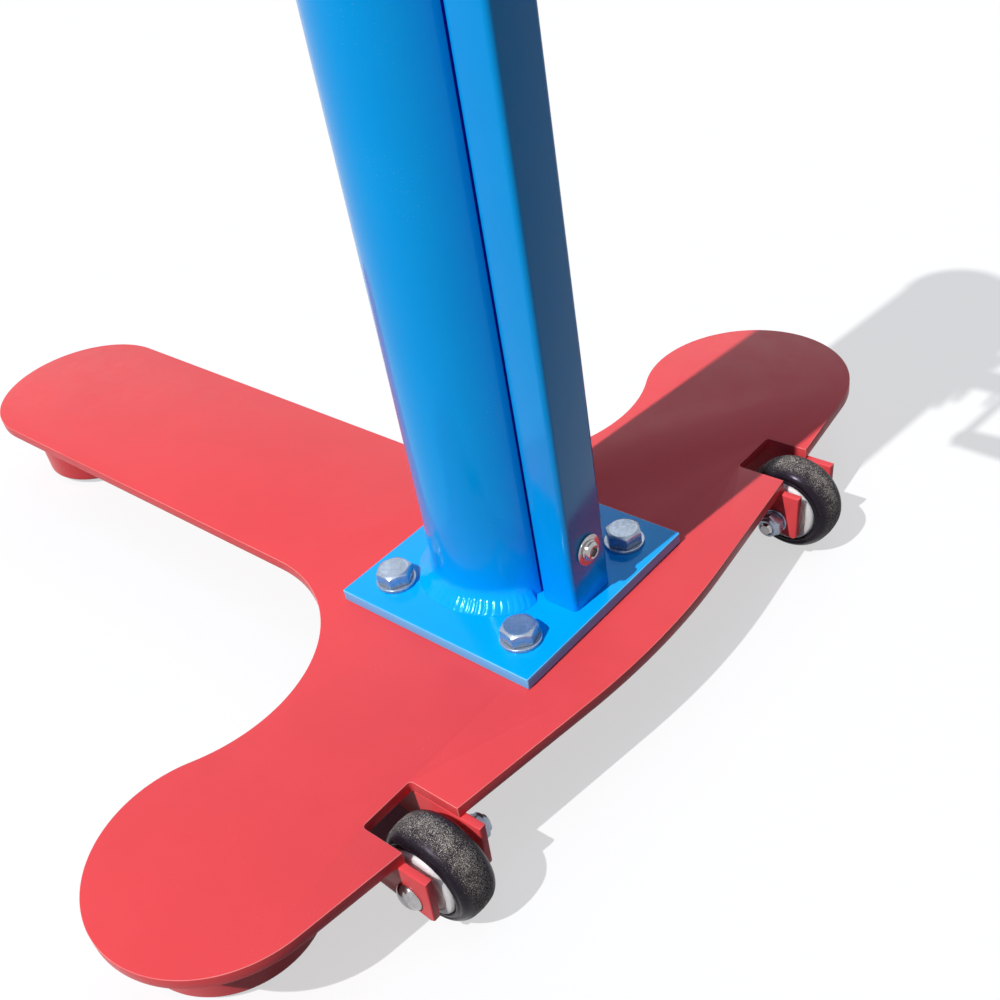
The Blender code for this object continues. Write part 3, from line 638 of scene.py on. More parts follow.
def outline(corners: Sequence[Corner], upright: bool, segments: int = 5) -> BMesh:
    """A wire through corners, each with its own rounding.

    Args:
        corners: two coordinates and the rounding of each corner, in order.
        upright: whether the second coordinate is Z (a profile to turn) or Y (a flat outline).
        segments: how many edges a rounding takes.

    Returns:
        The wire, open where it starts and ends on the turning axis.
    """
    bm = bmesh.new()
    verts = [bm.verts.new((a, 0.0, b) if upright else (a, b, 0.0)) for a, b, _ in corners]
    meets_axis = upright and corners[0][0] < MERGE and corners[-1][0] < MERGE
    ends = verts[1:] if meets_axis else verts[1:] + verts[:1]
    for start, end in zip(verts, ends):
        bm.edges.new((start, end))
    for rounding in sorted({c[2] for c in corners if c[2] > 0.0}):
        group = [v for v, c in zip(verts, corners) if c[2] == rounding]
        bmesh.ops.bevel(
            bm, geom=group, offset=rounding, offset_type="OFFSET", segments=segments,
            profile=0.5, affect="VERTICES", material=-1,
        )
    return bm


def turned(corners: Sequence[Corner], steps: int = 96, segments: int = 5) -> BMesh:
    """A solid turned about +Z from a profile of radius, height and rounding.

    Args:
        corners: the profile's corners, in order.
        steps: how many sides it has.
        segments: how many edges a rounding takes.

    Returns:
        The solid.
    """
    bm = outline(corners, True, segments)
    bmesh.ops.spin(
        bm, geom=bm.verts[:] + bm.edges[:], cent=(0, 0, 0), axis=(0, 0, 1), angle=FULL_TURN,
        steps=steps, use_merge=True,
    )
    return turned_faces_out(bm)


def mirrored(corners: Sequence[Corner]) -> list[Corner]:
    """A profile's other half: its corners in reverse order, with their heights negated."""
    return [(radius, -height, rounding) for radius, height, rounding in reversed(corners)]


def flat_ring(
    bore: float, radius: float, thickness: float, roundings: Sequence[float], steps: int = 96
) -> BMesh:
    """A washer or a spacer that stands on z = 0.

    Args:
        bore: its hole's radius.
        radius: its own radius.
        thickness: how thick it is.
        roundings: the roundings of its corners, from the hole's foot outwards and up.
        steps: how many sides it has.

    Returns:
        The ring.
    """
    corners = ((bore, 0.0), (radius, 0.0), (radius, thickness), (bore, thickness))
    return turned([(*corner, rounding) for corner, rounding in zip(corners, roundings)], steps)


def rim_edges(bm: BMesh, least: float) -> list[BMEdge]:
    """Finds the edges where two faces meet sharply.

    Args:
        bm: the solid.
        least: the least angle between the faces, in degrees.

    Returns:
        The edges.
    """
    return [
        e for e in bm.edges
        if len(e.link_faces) == 2 and math.degrees(e.calc_face_angle(0.0)) > least
    ]


def soften(bm: BMesh, width: float, segments: int = 3, least: float = 32.0) -> BMesh:
    """Rounds every sharp edge.

    Args:
        bm: the solid.
        width: the rounding's width.
        segments: how many faces a rounding takes.
        least: the angle, in degrees, past which an edge counts as sharp.

    Returns:
        The same solid.
    """
    bmesh.ops.bevel(
        bm, geom=rim_edges(bm, least), offset=width, offset_type="OFFSET", segments=segments,
        profile=0.5, affect="EDGES", clamp_overlap=True, material=-1,
    )
    return bm


def raised(bm: BMesh, thickness: float) -> BMesh:
    """Fills a flat outline and raises it into a plate from z = 0.

    Args:
        bm: the closed wire.
        thickness: the plate's thickness.

    Returns:
        The plate.
    """
    bmesh.ops.contextual_create(bm, geom=bm.edges[:])
    grown = bmesh.ops.extrude_face_region(bm, geom=bm.faces[:])["geom"]
    lifted = [g for g in grown if isinstance(g, BMVert)]
    bmesh.ops.translate(bm, verts=lifted, vec=(0.0, 0.0, thickness))
    return turned_faces_out(bm)


def cut_plate(corners: Sequence[Corner], thickness: float, edge: float, segments: int) -> BMesh:
    """A flat plate from an outline of x, y and rounding, with softened edges."""
    return soften(raised(outline(corners, False, segments), thickness), edge)


def rectangle(low: Vector, high: Vector, rounding: float) -> list[Corner]:
    """The outline of a box seen from above, with every corner rounded alike."""
    places = ((low.x, low.y), (high.x, low.y), (high.x, high.y), (low.x, high.y))
    return [(x, y, rounding) for x, y in places]


def refined(node: str, edge: float, segments: int = 2) -> BMesh:
    """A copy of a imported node's solid, its flats joined and its edges softened.

    Args:
        node: the node's name.
        edge: the width of the rounding.
        segments: how many faces a rounding takes.

    Returns:
        The copy, in place.
    """
    bm = bmesh.new()
    bm.from_mesh(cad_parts[node].data)
    bmesh.ops.remove_doubles(bm, verts=bm.verts[:], dist=2.0 * MERGE)
    bmesh.ops.dissolve_limit(
        bm, angle_limit=FLAT_ENOUGH, verts=bm.verts[:], edges=bm.edges[:], use_dissolve_boundaries=False
    )
    return soften(bm, edge, segments)


def sent(bm: BMesh, facing: Facing, centre: Vector, spin: float = 0.0) -> BMesh:
    """Turns a piece about its own axis, aims the axis and moves the piece into place.

    Args:
        bm: the piece, about +Z at the origin.
        facing: where its axis is sent.
        centre: where its origin is sent.
        spin: its turn about its own axis, in radians.

    Returns:
        The same piece.
    """
    move = Matrix.Translation(centre) @ facing.matrix @ Matrix.Rotation(spin, 4, "Z")
    bmesh.ops.transform(bm, matrix=move, verts=bm.verts[:])
    return bm


def together(parts: Iterable[BMesh]) -> BMesh:
    """Joins separate solids into one mesh.

    Args:
        parts: the solids; they are freed.

    Returns:
        The mesh.
    """
    whole = bmesh.new()
    for part in parts:
        mesh = bpy.data.meshes.new("part")
        part.to_mesh(mesh)
        part.free()
        whole.from_mesh(mesh)
        bpy.data.meshes.remove(mesh)
    return whole


def middle(node: str) -> Vector:
    """The centre of a node's box."""
    return sum(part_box(node), Vector()) / 2.0


# ---------------------------------------------------------------------------- shared hardware
@dataclass(frozen=True)
class Thread:
    """A coarse thread, drawn as rings."""

    radius: float
    pitch: float

    def profile(self, start: float, end: float) -> list[Corner]:
        """The thread's side.

        Args:
            start: the height where it starts.
            end: the height where it ends.

        Returns:
            The corners of its roots and crests, in order.
        """
        count = max(1, int(abs(end - start) / self.pitch))
        step = (end - start) / count
        root = self.radius - 0.5 * self.pitch
        corners: list[Corner] = []
        for i in range(count):
            corners += [(root, start + i * step, 0.0), (self.radius, start + (i + 0.5) * step, 0.0)]
        return corners + [(root, end, 0.0)]


@dataclass(frozen=True)
class Hexagon:
    """A hexagonal head or nut with the turned chamfer of a machined one."""

    flats: float
    height: float
    both_ends: bool = False
    chamfer: float = math.radians(30.0)
    circle_share: float = 0.435
    edge_share: float = 0.013

    def solid(self) -> BMesh:
        """The head from z = 0 upwards.

        Returns:
            The solid, with the curved edges that a cone leaves on the flats.
        """
        bm = bmesh.new()
        bmesh.ops.create_circle(bm, cap_ends=True, radius=self.flats / math.sqrt(3.0), segments=6)
        bmesh.ops.subdivide_edges(bm, edges=bm.edges[:], cuts=9)
        base = bm.faces[:]
        grown = bmesh.ops.extrude_face_region(bm, geom=base)["geom"]
        top = [g for g in grown if isinstance(g, BMFace)]
        lifted = [g for g in grown if isinstance(g, BMVert)]
        bmesh.ops.translate(bm, verts=lifted, vec=(0.0, 0.0, self.height))
        self._cone(bm, top, 1.0)
        if self.both_ends:
            self._cone(bm, base, -1.0)
        return soften(turned_faces_out(bm), self.flats * self.edge_share, 2, 24.0)

    def _cone(self, bm: BMesh, caps: list[BMFace], way: float) -> None:
        """Lowers an end's rim by a cone and ends it in a circle.

        Args:
            bm: the prism.
            caps: the end's one face.
            way: +1 for the top, -1 for the bottom.
        """
        flat = self.flats * self.circle_share
        level = caps[0].verts[0].co.z
        for vert in caps[0].verts:
            over = max(0.0, math.hypot(vert.co.x, vert.co.y) - flat)
            vert.co.z = level - way * over * math.tan(self.chamfer)
        grown = bmesh.ops.extrude_face_region(bm, geom=caps)["geom"]
        for vert in (g for g in grown if isinstance(g, BMVert)):
            shrink = flat / math.hypot(vert.co.x, vert.co.y)
            vert.co = Vector((vert.co.x * shrink, vert.co.y * shrink, level))
        bmesh.ops.delete(bm, geom=[f for f in caps if f.is_valid], context="FACES_ONLY")


@dataclass(frozen=True)
class WeldBead:
    """A rippled weld bead, laid round a foot or along a seam."""

    leg: float
    pitch: float
    ripple: float
    rough_at: float = math.radians(-66.0)
    rough_width: float = 32.0
    calm: float = 1.0
    cuts: int = 5
    buried: float = 0.0002
    wall: float = 0.0010

    def around(self, radius: float, start: float, sweep: float) -> BMesh:
        """A hollow-faced fillet round a post's foot, standing on z = 0.

        Args:
            radius: the radius it is laid against.
            start: where it starts, in degrees from +X.
            sweep: how far it runs, in degrees.

        Returns:
            The bead.
        """
        bm = outline(self._profile(radius), True)
        whole = sweep > 359.9
        turn = math.radians(sweep)
        steps = max(24, int(turn * radius / self.pitch * self.cuts))
        bmesh.ops.spin(
            bm, geom=bm.verts[:] + bm.edges[:], cent=(0, 0, 0), axis=(0, 0, 1), angle=turn,
            steps=steps, use_merge=whole,
        )
        bmesh.ops.remove_doubles(bm, verts=bm.verts[:], dist=MERGE)
        bmesh.ops.holes_fill(bm, edges=[e for e in bm.edges if len(e.link_faces) == 1], sides=0)
        bmesh.ops.recalc_face_normals(bm, faces=bm.faces[:])
        for vert in bm.verts:
            self._shape(vert, radius, turn, math.radians(start), whole)
        to_start = Matrix.Rotation(math.radians(start), 3, "Z")
        bmesh.ops.rotate(bm, verts=bm.verts[:], cent=(0, 0, 0), matrix=to_start)
        return bm

    def _profile(self, radius: float) -> list[Corner]:
        """The bead's section: a toe that runs out flat, then a throat that climbs the wall.

        Args:
            radius: the radius it is laid against.

        Returns:
            The section's corners, in order.
        """
        leg = self.leg
        corners = [(radius - self.wall, -self.buried, 0.0), (radius + leg, -self.buried, 0.0)]
        for step in range(12):
            run = 0.60 * step / 11.0
            corners.append((radius + leg * (1.0 - run), leg * 0.80 * run + 0.0001, 0.0))
        for step in range(1, 11):
            left = 1.0 - step / 10.0
            height = leg * (0.48 + 0.77 * (1.0 - left))
            corners.append((radius + leg * 0.40 * left ** 2.4, height, 0.0))
        return corners + [(radius - self.wall, leg * 1.25, 0.0)]

    def _shape(self, vert: BMVert, radius: float, turn: float, start: float, whole: bool) -> None:
        """Ripples a ring bead's face and draws its two ends in.

        Args:
            vert: a point of the ring, before the ring is turned to its start.
            radius: the radius it is laid against.
            turn: how far the ring runs, in radians.
            start: where it will start, in radians.
            whole: whether it has no ends.
        """
        flat = Vector((vert.co.x, vert.co.y, 0.0)).normalized()
        angle = math.atan2(vert.co.y, vert.co.x) % FULL_TURN
        out = vert.co.xy.length - radius
        across = max(0.0, min(1.0, out / self.leg))
        if 0.01 < across < 0.995:
            push = self._front(angle + start) * self._crest(angle * radius, across) * self._share(across)
            vert.co += (flat + Vector((0.0, 0.0, 1.0))).normalized() * push
        if not whole and out > 0.0:
            edge = min(angle, turn - angle) * radius / self.leg
            drawn = 0.35 + 0.65 * math.sqrt(max(0.0, min(1.0, edge)))
            vert.co -= flat * (out * (1.0 - drawn))
            if vert.co.z > 0.0:
                vert.co.z *= drawn

    def _front(self, angle: float) -> float:
        """How rough the bead is round the ring: rough where it was laid by hand, calm elsewhere.

        Args:
            angle: where on the ring, in radians.

        Returns:
            The ripples' share there.
        """
        off = angle - self.rough_at
        off = math.degrees(math.atan2(math.sin(off), math.cos(off)))
        return self.calm + (1.0 - self.calm) * math.exp(-((off / self.rough_width) ** 2))

    @staticmethod
    def _share(across: float) -> float:
        """How much of a ripple stands: none at the wall, most past the bead's middle.

        Args:
            across: the share of the way across the bead.

        Returns:
            The ripple's share.
        """
        rise = min(1.0, max(0.0, (across - 0.04) / 0.40))
        fall = min(1.0, (1.0 - across) / 0.10)
        return rise * rise * (3.0 - 2.0 * rise) * math.sqrt(fall)

    def _crest(self, run: float, across: float) -> float:
        """A ripple's height.

        Args:
            run: the distance along the bead.
            across: the share of the way across it.

        Returns:
            The height over the bead's plain face.
        """
        drift = 0.16 * math.sin(run * 190.0) + 0.16 * math.sin(run * 67.0 + 1.3)
        phase = run / self.pitch + drift + 1.2 * (across - 0.55) ** 2
        swell = 0.74 + 0.26 * math.sin(run * 141.0 + 0.6)
        tooth = 1.0 - abs(2.0 * (phase % 1.0) - 1.0) ** 2.4
        return self.ripple * swell * (tooth - 0.6)

    def along(self, start: Vector, end: Vector, away: Vector) -> BMesh:
        """A rounded bead along a straight seam.

        Args:
            start: the seam's first point.
            end: the seam's last point.
            away: the direction that the bead's face looks.

        Returns:
            The bead, in place.
        """
        length = (end - start).length
        rings = max(8, int(length / (self.pitch / 4.0)))
        bm = bmesh.new()
        bmesh.ops.create_grid(bm, x_segments=rings, y_segments=10, size=0.5)
        lowest = Vector(away).normalized()
        forward = (end - start).normalized()
        side = forward.cross(lowest).normalized()
        for vert in bm.verts:
            u = vert.co.x + 0.5
            angle = math.radians(-100.0 + 200.0 * (vert.co.y + 0.5))
            taper = min(1.0, 9.0 * min(u, 1.0 - u) + 0.12) ** 0.5
            thick = self.leg * 0.5 * taper + self._crest(u * length, 2.0 * vert.co.y) * taper
            vert.co = start + forward * (u * length) + side * (math.sin(angle) * thick)
            vert.co += lowest * (math.cos(angle) * thick * 0.8)
        bmesh.ops.contextual_create(bm, geom=[e for e in bm.edges if len(e.link_faces) == 1])
        return turned_faces_out(bm)


# ---------------------------------------------------------------------------- the workshop
@dataclass
class Workshop:
    """Turns modelled meshes into finished pieces and keeps count of them."""

    palette: dict[Slot, bpy.types.Material]
    made: list[str] = field(default_factory=list)

    def piece(
        self, name: str, bm: BMesh, slot: Slot, body: str = "frame",
        stands_for: Sequence[str] = (), sharp: float = 40.0, edge_paint_and_highlight: bool = False,
    ) -> None:
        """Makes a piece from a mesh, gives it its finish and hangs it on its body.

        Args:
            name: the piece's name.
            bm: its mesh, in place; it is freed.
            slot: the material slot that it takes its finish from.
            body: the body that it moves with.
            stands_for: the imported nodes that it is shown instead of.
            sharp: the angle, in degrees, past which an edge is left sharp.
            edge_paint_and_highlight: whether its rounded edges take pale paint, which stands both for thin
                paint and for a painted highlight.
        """
        if edge_paint_and_highlight:
            self._mark_pale_edges_and_highlight(bm)
        mesh = bpy.data.meshes.new(name)
        bm.to_mesh(mesh)
        bm.free()
        mesh.materials.append(self.palette[slot])
        mesh.shade_smooth()
        mesh.set_sharp_from_angle(angle=math.radians(sharp))
        made = bpy.data.objects.new(name, mesh)
        bpy.context.scene.collection.objects.link(made)
        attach(made, body)
        if stands_for:
            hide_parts(*stands_for)
        self.made.append(name)
        LOG.info("%s: %d faces on %s", name, len(mesh.polygons), body)

    @staticmethod
    def _mark_pale_edges_and_highlight(bm: BMesh) -> None:
        """Marks the middle of each rounded edge, by how sharply the surface bends there, for pale paint
        that is both thin paint and a painted highlight.

        Args:
            bm: the piece's mesh.
        """
        layer = bm.verts.layers.float.new(Layer.THIN_PAINT_AND_HIGHLIGHT.value)
        for vert in bm.verts:
            bends = [e.calc_face_angle(0.0) for e in vert.link_edges if len(e.link_faces) == 2]
            bend = math.degrees(max(bends, default=0.0))
            vert[layer] = max(0.0, min(1.0, (bend - PALE_FROM) / PALE_OVER))


# ---------------------------------------------------------------------------- base
@dataclass
class AnchorBase:
    """The anchor-shaped plate and its three round feet."""

    shop: Workshop
    arm_half: float = 0.084
    lobe_radius: float = 0.086
    lobe_x: float = 0.0215
    waist_radius: float = 0.121
    prow_slope: float = 0.130
    prow_radius: float = 0.600
    notch_x: float = 0.082
    notch_corner: float = 0.003
    edge: float = 0.0005
    foot_rounding: float = 0.0022
    foot_bead: WeldBead = WeldBead(leg=0.0060, pitch=3.0e-3, ripple=2.5e-4)
    sole_groove: float = 0.0012
    sole_rings: int = 6

    def __post_init__(self) -> None:
        """Reads the plate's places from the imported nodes."""
        self.low, self.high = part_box("base_plate")
        self.post_x = middle("main_post").x
        self.lobe_y = self.high.y - self.lobe_radius
        self.notch_y = middle("tyre_right").y
        gap_low, gap_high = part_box("ear_right_inner")[HIGH].y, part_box("ear_right_outer")[LOW].y
        self.notch_half = (gap_high - gap_low) / 2.0

    def build(self) -> None:
        """Builds the plate, the feet and their soles."""
        plate = self._plate()
        self.shop.piece("anchor_plate", plate, Slot.RED, stands_for=["base_plate"], edge_paint_and_highlight=True)
        for label in ("left", "right", "arm"):
            self._foot(label)

    def _plate(self) -> BMesh:
        """The plate: half its outline is drawn by a pen that turns round each curve, then mirrored.

        Returns:
            The plate, in place.
        """
        bm = bmesh.new()
        slant = math.atan(self.prow_slope)
        apex = Vector((self.high.x, 0.0, 0.0))
        pen = bm.verts.new(apex)
        pen = self._round(bm, pen, Vector((apex.x - self.prow_radius, 0.0, 0.0)), slant, 8)
        edge_x, edge_y = pen.co.x, pen.co.y

        def outer(y: float) -> Vector:
            """A point on the straight outer edge."""
            return Vector((edge_x - self.prow_slope * (y - edge_y), y, 0.0))

        inner, r = self.post_x + self.notch_x, self.notch_corner
        low, high = self.notch_y - self.notch_half, self.notch_y + self.notch_half
        pen = self._run(bm, pen, outer(low))
        pen = self._run(bm, pen, Vector((inner + r, low, 0.0)))
        pen = self._round(bm, pen, Vector((inner + r, low + r, 0.0)), -math.pi / 2.0, 6)
        pen = self._run(bm, pen, Vector((inner, high - r, 0.0)))
        pen = self._round(bm, pen, Vector((inner + r, high - r, 0.0)), -math.pi / 2.0, 6)
        pen = self._run(bm, pen, outer(high))
        lobe = Vector((self.post_x + self.lobe_x, self.lobe_y, 0.0))
        waist_y = self.arm_half + self.waist_radius
        reach = self.lobe_radius + self.waist_radius
        waist = Vector((lobe.x - math.sqrt(reach ** 2 - (lobe.y - waist_y) ** 2), waist_y, 0.0))
        away = Vector((math.cos(slant), math.sin(slant), 0.0))
        pen = self._run(bm, pen, lobe + self.lobe_radius * away)
        meet = math.atan2(lobe.y - waist.y, lobe.x - waist.x)
        pen = self._round(bm, pen, lobe, math.pi + meet - slant, 96)
        pen = self._round(bm, pen, waist, -meet - math.pi / 2.0, 48)
        tip = Vector((self.low.x + self.arm_half, 0.0, 0.0))
        pen = self._run(bm, pen, tip + Vector((0.0, self.arm_half, 0.0)))
        self._round(bm, pen, tip, math.pi / 2.0, 40)
        bmesh.ops.mirror(bm, geom=bm.verts[:] + bm.edges[:], axis="Y", merge_dist=MERGE)
        bmesh.ops.remove_doubles(bm, verts=bm.verts[:], dist=MERGE)
        plate = soften(raised(bm, self.high.z - self.low.z), self.edge, 3)
        return sent(plate, Facing.UP, Vector((0.0, 0.0, self.low.z)))

    @staticmethod
    def _run(bm: BMesh, pen: BMVert, target: Vector) -> BMVert:
        """Draws a straight line.

        Args:
            bm: the outline.
            pen: the line's first point.
            target: where the line ends.

        Returns:
            The line's last point.
        """
        end = bmesh.ops.extrude_vert_indiv(bm, verts=[pen])["verts"][0]
        end.co = target
        return end

    @staticmethod
    def _round(bm: BMesh, pen: BMVert, centre: Vector, angle: float, steps: int) -> BMVert:
        """Draws an arc.

        Args:
            bm: the outline.
            pen: the arc's first point.
            centre: the arc's centre.
            angle: how far the arc turns, in radians.
            steps: how many edges it takes.

        Returns:
            The arc's last point.
        """
        drawn = bmesh.ops.spin(
            bm, geom=[pen], cent=centre, axis=(0, 0, 1), angle=angle, steps=steps, use_duplicate=False
        )
        return next(g for g in drawn["geom_last"] if isinstance(g, BMVert))

    def _foot(self, label: str) -> None:
        """One round foot, the weld round its top and the rubber sole under it.

        Args:
            label: the foot's word in node names.
        """
        low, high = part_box("foot_" + label)
        centre = (low + high) / 2.0
        centre.z = 0.0
        radius = (high.x - low.x) / 2.0
        wall = turned([
            (0.0, low.z, 0.0), (radius, low.z, self.foot_rounding),
            (radius, high.z, 0.0), (0.0, high.z, 0.0),
        ], 128)
        wall = sent(wall, Facing.UP, centre)
        self.shop.piece(f"foot_can_{label}", wall, Slot.RED, stands_for=["foot_" + label])
        bead = self.foot_bead.around(radius, 0.0, 360.0)
        bead = sent(bead, Facing.DOWN, Vector((centre.x, centre.y, high.z)))
        self.shop.piece(f"foot_weld_{label}", bead, Slot.RED)
        sole = sent(turned(self._sole(label), 96, 3), Facing.UP, centre)
        self.shop.piece(f"foot_pad_{label}", sole, Slot.SOLE, stands_for=["sole_" + label])

    def _sole(self, label: str) -> list[Corner]:
        """A sole's profile, with its ringed tread.

        Args:
            label: the foot's word in node names.

        Returns:
            The profile's corners, in order.
        """
        low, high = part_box("sole_" + label)
        radius, groove = (high.x - low.x) / 2.0, self.sole_groove
        corners = [(0.0, 0.0, 0.0)]
        for ring in range(1, self.sole_rings + 1):
            r = radius * ring / (self.sole_rings + 1.5)
            corners += [(r, 0.0, 0.0), (r + 0.0008, groove, 0.0)]
            corners += [(r + 0.0030, groove, 0.0), (r + 0.0038, 0.0, 0.0)]
        return corners + [(radius, 0.0, 0.0010), (radius, high.z, 0.0005), (0.0, high.z, 0.0)]


# ---------------------------------------------------------------------------- wheels
@dataclass
class WheelUnit:
    """One wheel with its ears, axle bolt, lock nut and spacers."""

    shop: Workshop
    side: Side
    bead_radius: float = 0.0258
    crown_share: float = 0.92
    crown_depth: float = 0.0040
    ear_edge: float = 0.0004
    ear_bead: WeldBead = WeldBead(leg=0.0046, pitch=2.2e-3, ripple=2.6e-4)
    thread: Thread = Thread(radius=0.005, pitch=1.4e-3)
    dome_height: float = 0.0058
    thread_length: float = 0.020
    washer_bore: float = 0.0052
    spacer_bore: float = 0.0054
    nut_flats: float = 0.017
    collar_height: float = 0.0028

    def __post_init__(self) -> None:
        """Reads the wheel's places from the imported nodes."""
        label = self.side.label
        self.body = "wheel_" + label
        low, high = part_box("tyre_" + label)
        self.centre = (low + high) / 2.0
        self.radius = (high.z - low.z) / 2.0
        self.half = (high.y - low.y) / 2.0
        hub_low, hub_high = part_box("hub_" + label)
        self.hub_half = (hub_high.y - hub_low.y) / 2.0
        self.hub_radius = (hub_high.z - hub_low.z) / 2.0

    @property
    def outward(self) -> Facing:
        """The way from the stand's middle to this wheel."""
        return Facing.LEFT if self.side is Side.LEFT else Facing.RIGHT

    @property
    def inward(self) -> Facing:
        """The way from this wheel to the stand's middle."""
        return Facing.RIGHT if self.side is Side.LEFT else Facing.LEFT

    @property
    def outer_end(self) -> int:
        """Which corner of a node's box lies outward."""
        return LOW if self.side is Side.LEFT else HIGH

    def _on_axle(self, y: float) -> Vector:
        """The point of the wheel's axis at a distance along Y."""
        return Vector((self.centre.x, y, self.centre.z))

    def build(self) -> None:
        """Builds the wheel and everything that holds it."""
        self._tyre()
        self._hub()
        for place in ("outer", "inner"):
            self._ear(place)
        self._axle()
        self._spacers()

    def _tyre(self) -> None:
        """The tyre, with a fine parting ridge and a layer that marks its crown."""
        label = self.side.label
        r, w, bead = self.radius, self.half, self.bead_radius
        one_side = [
            (bead, -w + 0.0012, 0.0004), (bead + 0.0010, -w, 0.0005), (bead + 0.0022, -w, 0.0005),
            (bead + 0.0032, -w + 0.0009, 0.0004), (bead + 0.0040, -w + 0.0009, 0.0006),
            (r - 0.0060, -w, 0.0030), (r - 0.0014, -w + 0.0048, 0.0030), (r - 0.00018, -0.0045, 0.003),
            (r - 0.00012, -0.0004, 0.0),
        ]
        bm = turned(one_side + [(r, 0.0, 0.0)] + mirrored(one_side), 144, 6)
        layer = bm.verts.layers.float.new(Layer.CROWN.value)
        for vert in bm.verts:
            out = math.hypot(vert.co.x, vert.co.y)
            near = 1.0 - min(1.0, abs(vert.co.z) / (w * self.crown_share))
            rise = max(0.0, min(1.0, (out - (r - self.crown_depth)) / 0.0030))
            vert[layer] = rise * near ** 0.7
        tyre = sent(bm, self.outward, self.centre)
        self.shop.piece(f"tyre_rubber_{label}", tyre, Slot.TYRE, self.body, ["tyre_" + label], 60.0)

    def _hub(self) -> None:
        """The moulded hub: rim ring, step, recessed web, boss and its bearing cup."""
        label = self.side.label
        face, boss = self.half + 0.0006, self.hub_half
        one_side = [
            (0.0051, boss, 0.0002), (0.0090, boss, 0.0003), (0.0094, boss - 0.0007, 0.0002),
            (0.0182, boss - 0.0009, 0.0008), (0.0192, boss - 0.0022, 0.0004),
            (0.0195, face + 0.0005, 0.0001), (0.0200, face + 0.0005, 0.0001),
            (0.0204, face + 0.0015, 0.0005), (0.0242, face + 0.0010, 0.0009),
            (self.hub_radius, face - 0.0010, 0.0004),
        ]
        hub = sent(turned(one_side + mirrored(one_side), 128, 3), self.outward, self.centre)
        self.shop.piece(f"hub_moulding_{label}", hub, Slot.NYLON, self.body, ["hub_" + label], 35.0)

    def _ear(self, place: str) -> None:
        """One welded ear and the bead that holds it under the plate, on its side away from the wheel.

        Args:
            place: the ear's word in node names.
        """
        node = f"ear_{self.side.label}_{place}"
        low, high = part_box(node)
        plate = refined(node, self.ear_edge, 3)
        self.shop.piece(f"{node}_plate", plate, Slot.RED, stands_for=[node], edge_paint_and_highlight=True)
        seam = high.z - 0.0002
        stop = min(high.x - 0.004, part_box("base_plate")[HIGH].x - 0.045)
        y, way = (low.y, -1.0) if low.y < self.centre.y else (high.y, 1.0)
        bead = self.ear_bead.along(
            Vector((low.x + 0.003, y, seam)), Vector((stop, y, seam)), Vector((0.0, way, -1.0))
        )
        self.shop.piece(f"{node}_weld", bead, Slot.RED)

    def _axle(self) -> None:
        """The domed axle bolt, the washer and the lock nut."""
        label = self.side.label
        low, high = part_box("axle_bolt_" + label)
        head_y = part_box(f"ear_{label}_outer")[self.outer_end].y + self.side.value * SEAT_GAP
        radius, length = self.thread.radius, (high.y - low.y) - self.dome_height
        dome = [
            (0.0, self.dome_height, 0.0), (0.0030, 0.0056, 0.0010), (0.0062, 0.0046, 0.0012),
            (0.0088, 0.0028, 0.0010), (0.0103, 0.0008, 0.0004), (0.0104, 0.0, 0.0),
        ]
        shank = [(radius, 0.0, 0.0), (radius, -length + self.thread_length, 0.0)]
        shank += self.thread.profile(-length + self.thread_length - 0.0002, -length + 0.0012)
        end = [(0.0040, -length, 0.0), (0.0, -length, 0.0)]
        bolt = sent(turned(dome + shank + end, 96, 4), self.outward, self._on_axle(head_y))
        node = "axle_bolt_" + label
        self.shop.piece(f"{node}_domed", bolt, Slot.STAINLESS, stands_for=[node])
        node = "nut_washer_" + label
        low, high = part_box(node)
        ring = flat_ring(
            self.washer_bore, (high.z - low.z) / 2.0, high.y - low.y, (0.0003, 0.0005, 0.0005, 0.0003)
        )
        ring = sent(ring, self.inward, self._on_axle((low, high)[self.outer_end].y))
        self.shop.piece(f"{node}_ring", ring, Slot.ZINC, stands_for=[node])
        node = "lock_nut_" + label
        low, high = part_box(node)
        height = (high.y - low.y) - self.collar_height
        nut = Hexagon(self.nut_flats, height, True).solid()
        collar = turned([
            (0.0047, height - 0.0004, 0.0), (0.0079, height - 0.0004, 0.0),
            (0.0077, height + 0.0020, 0.0006), (0.0066, height + 0.0027, 0.0006),
            (0.0056, height + 0.0027, 0.0003), (0.0053, height + 0.0016, 0.0),
            (0.0047, height + 0.0016, 0.0),
        ])
        both = sent(together([nut, collar]), self.inward, self._on_axle((low, high)[self.outer_end].y))
        self.shop.piece(f"{node}_hex", both, Slot.ZINC, stands_for=[node], sharp=30.0)

    def _spacers(self) -> None:
        """The two spacer rings between hub and ears."""
        for place in ("outer", "inner"):
            node = f"spacer_{self.side.label}_{place}"
            low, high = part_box(node)
            ring = flat_ring(
                self.spacer_bore, (high.z - low.z) / 2.0, high.y - low.y, (0.0, 0.0003, 0.0003, 0.0), 64
            )
            ring = sent(ring, Facing.LEFT, self._on_axle(high.y))
            self.shop.piece(f"{node}_ring", ring, Slot.ZINC, stands_for=[node])


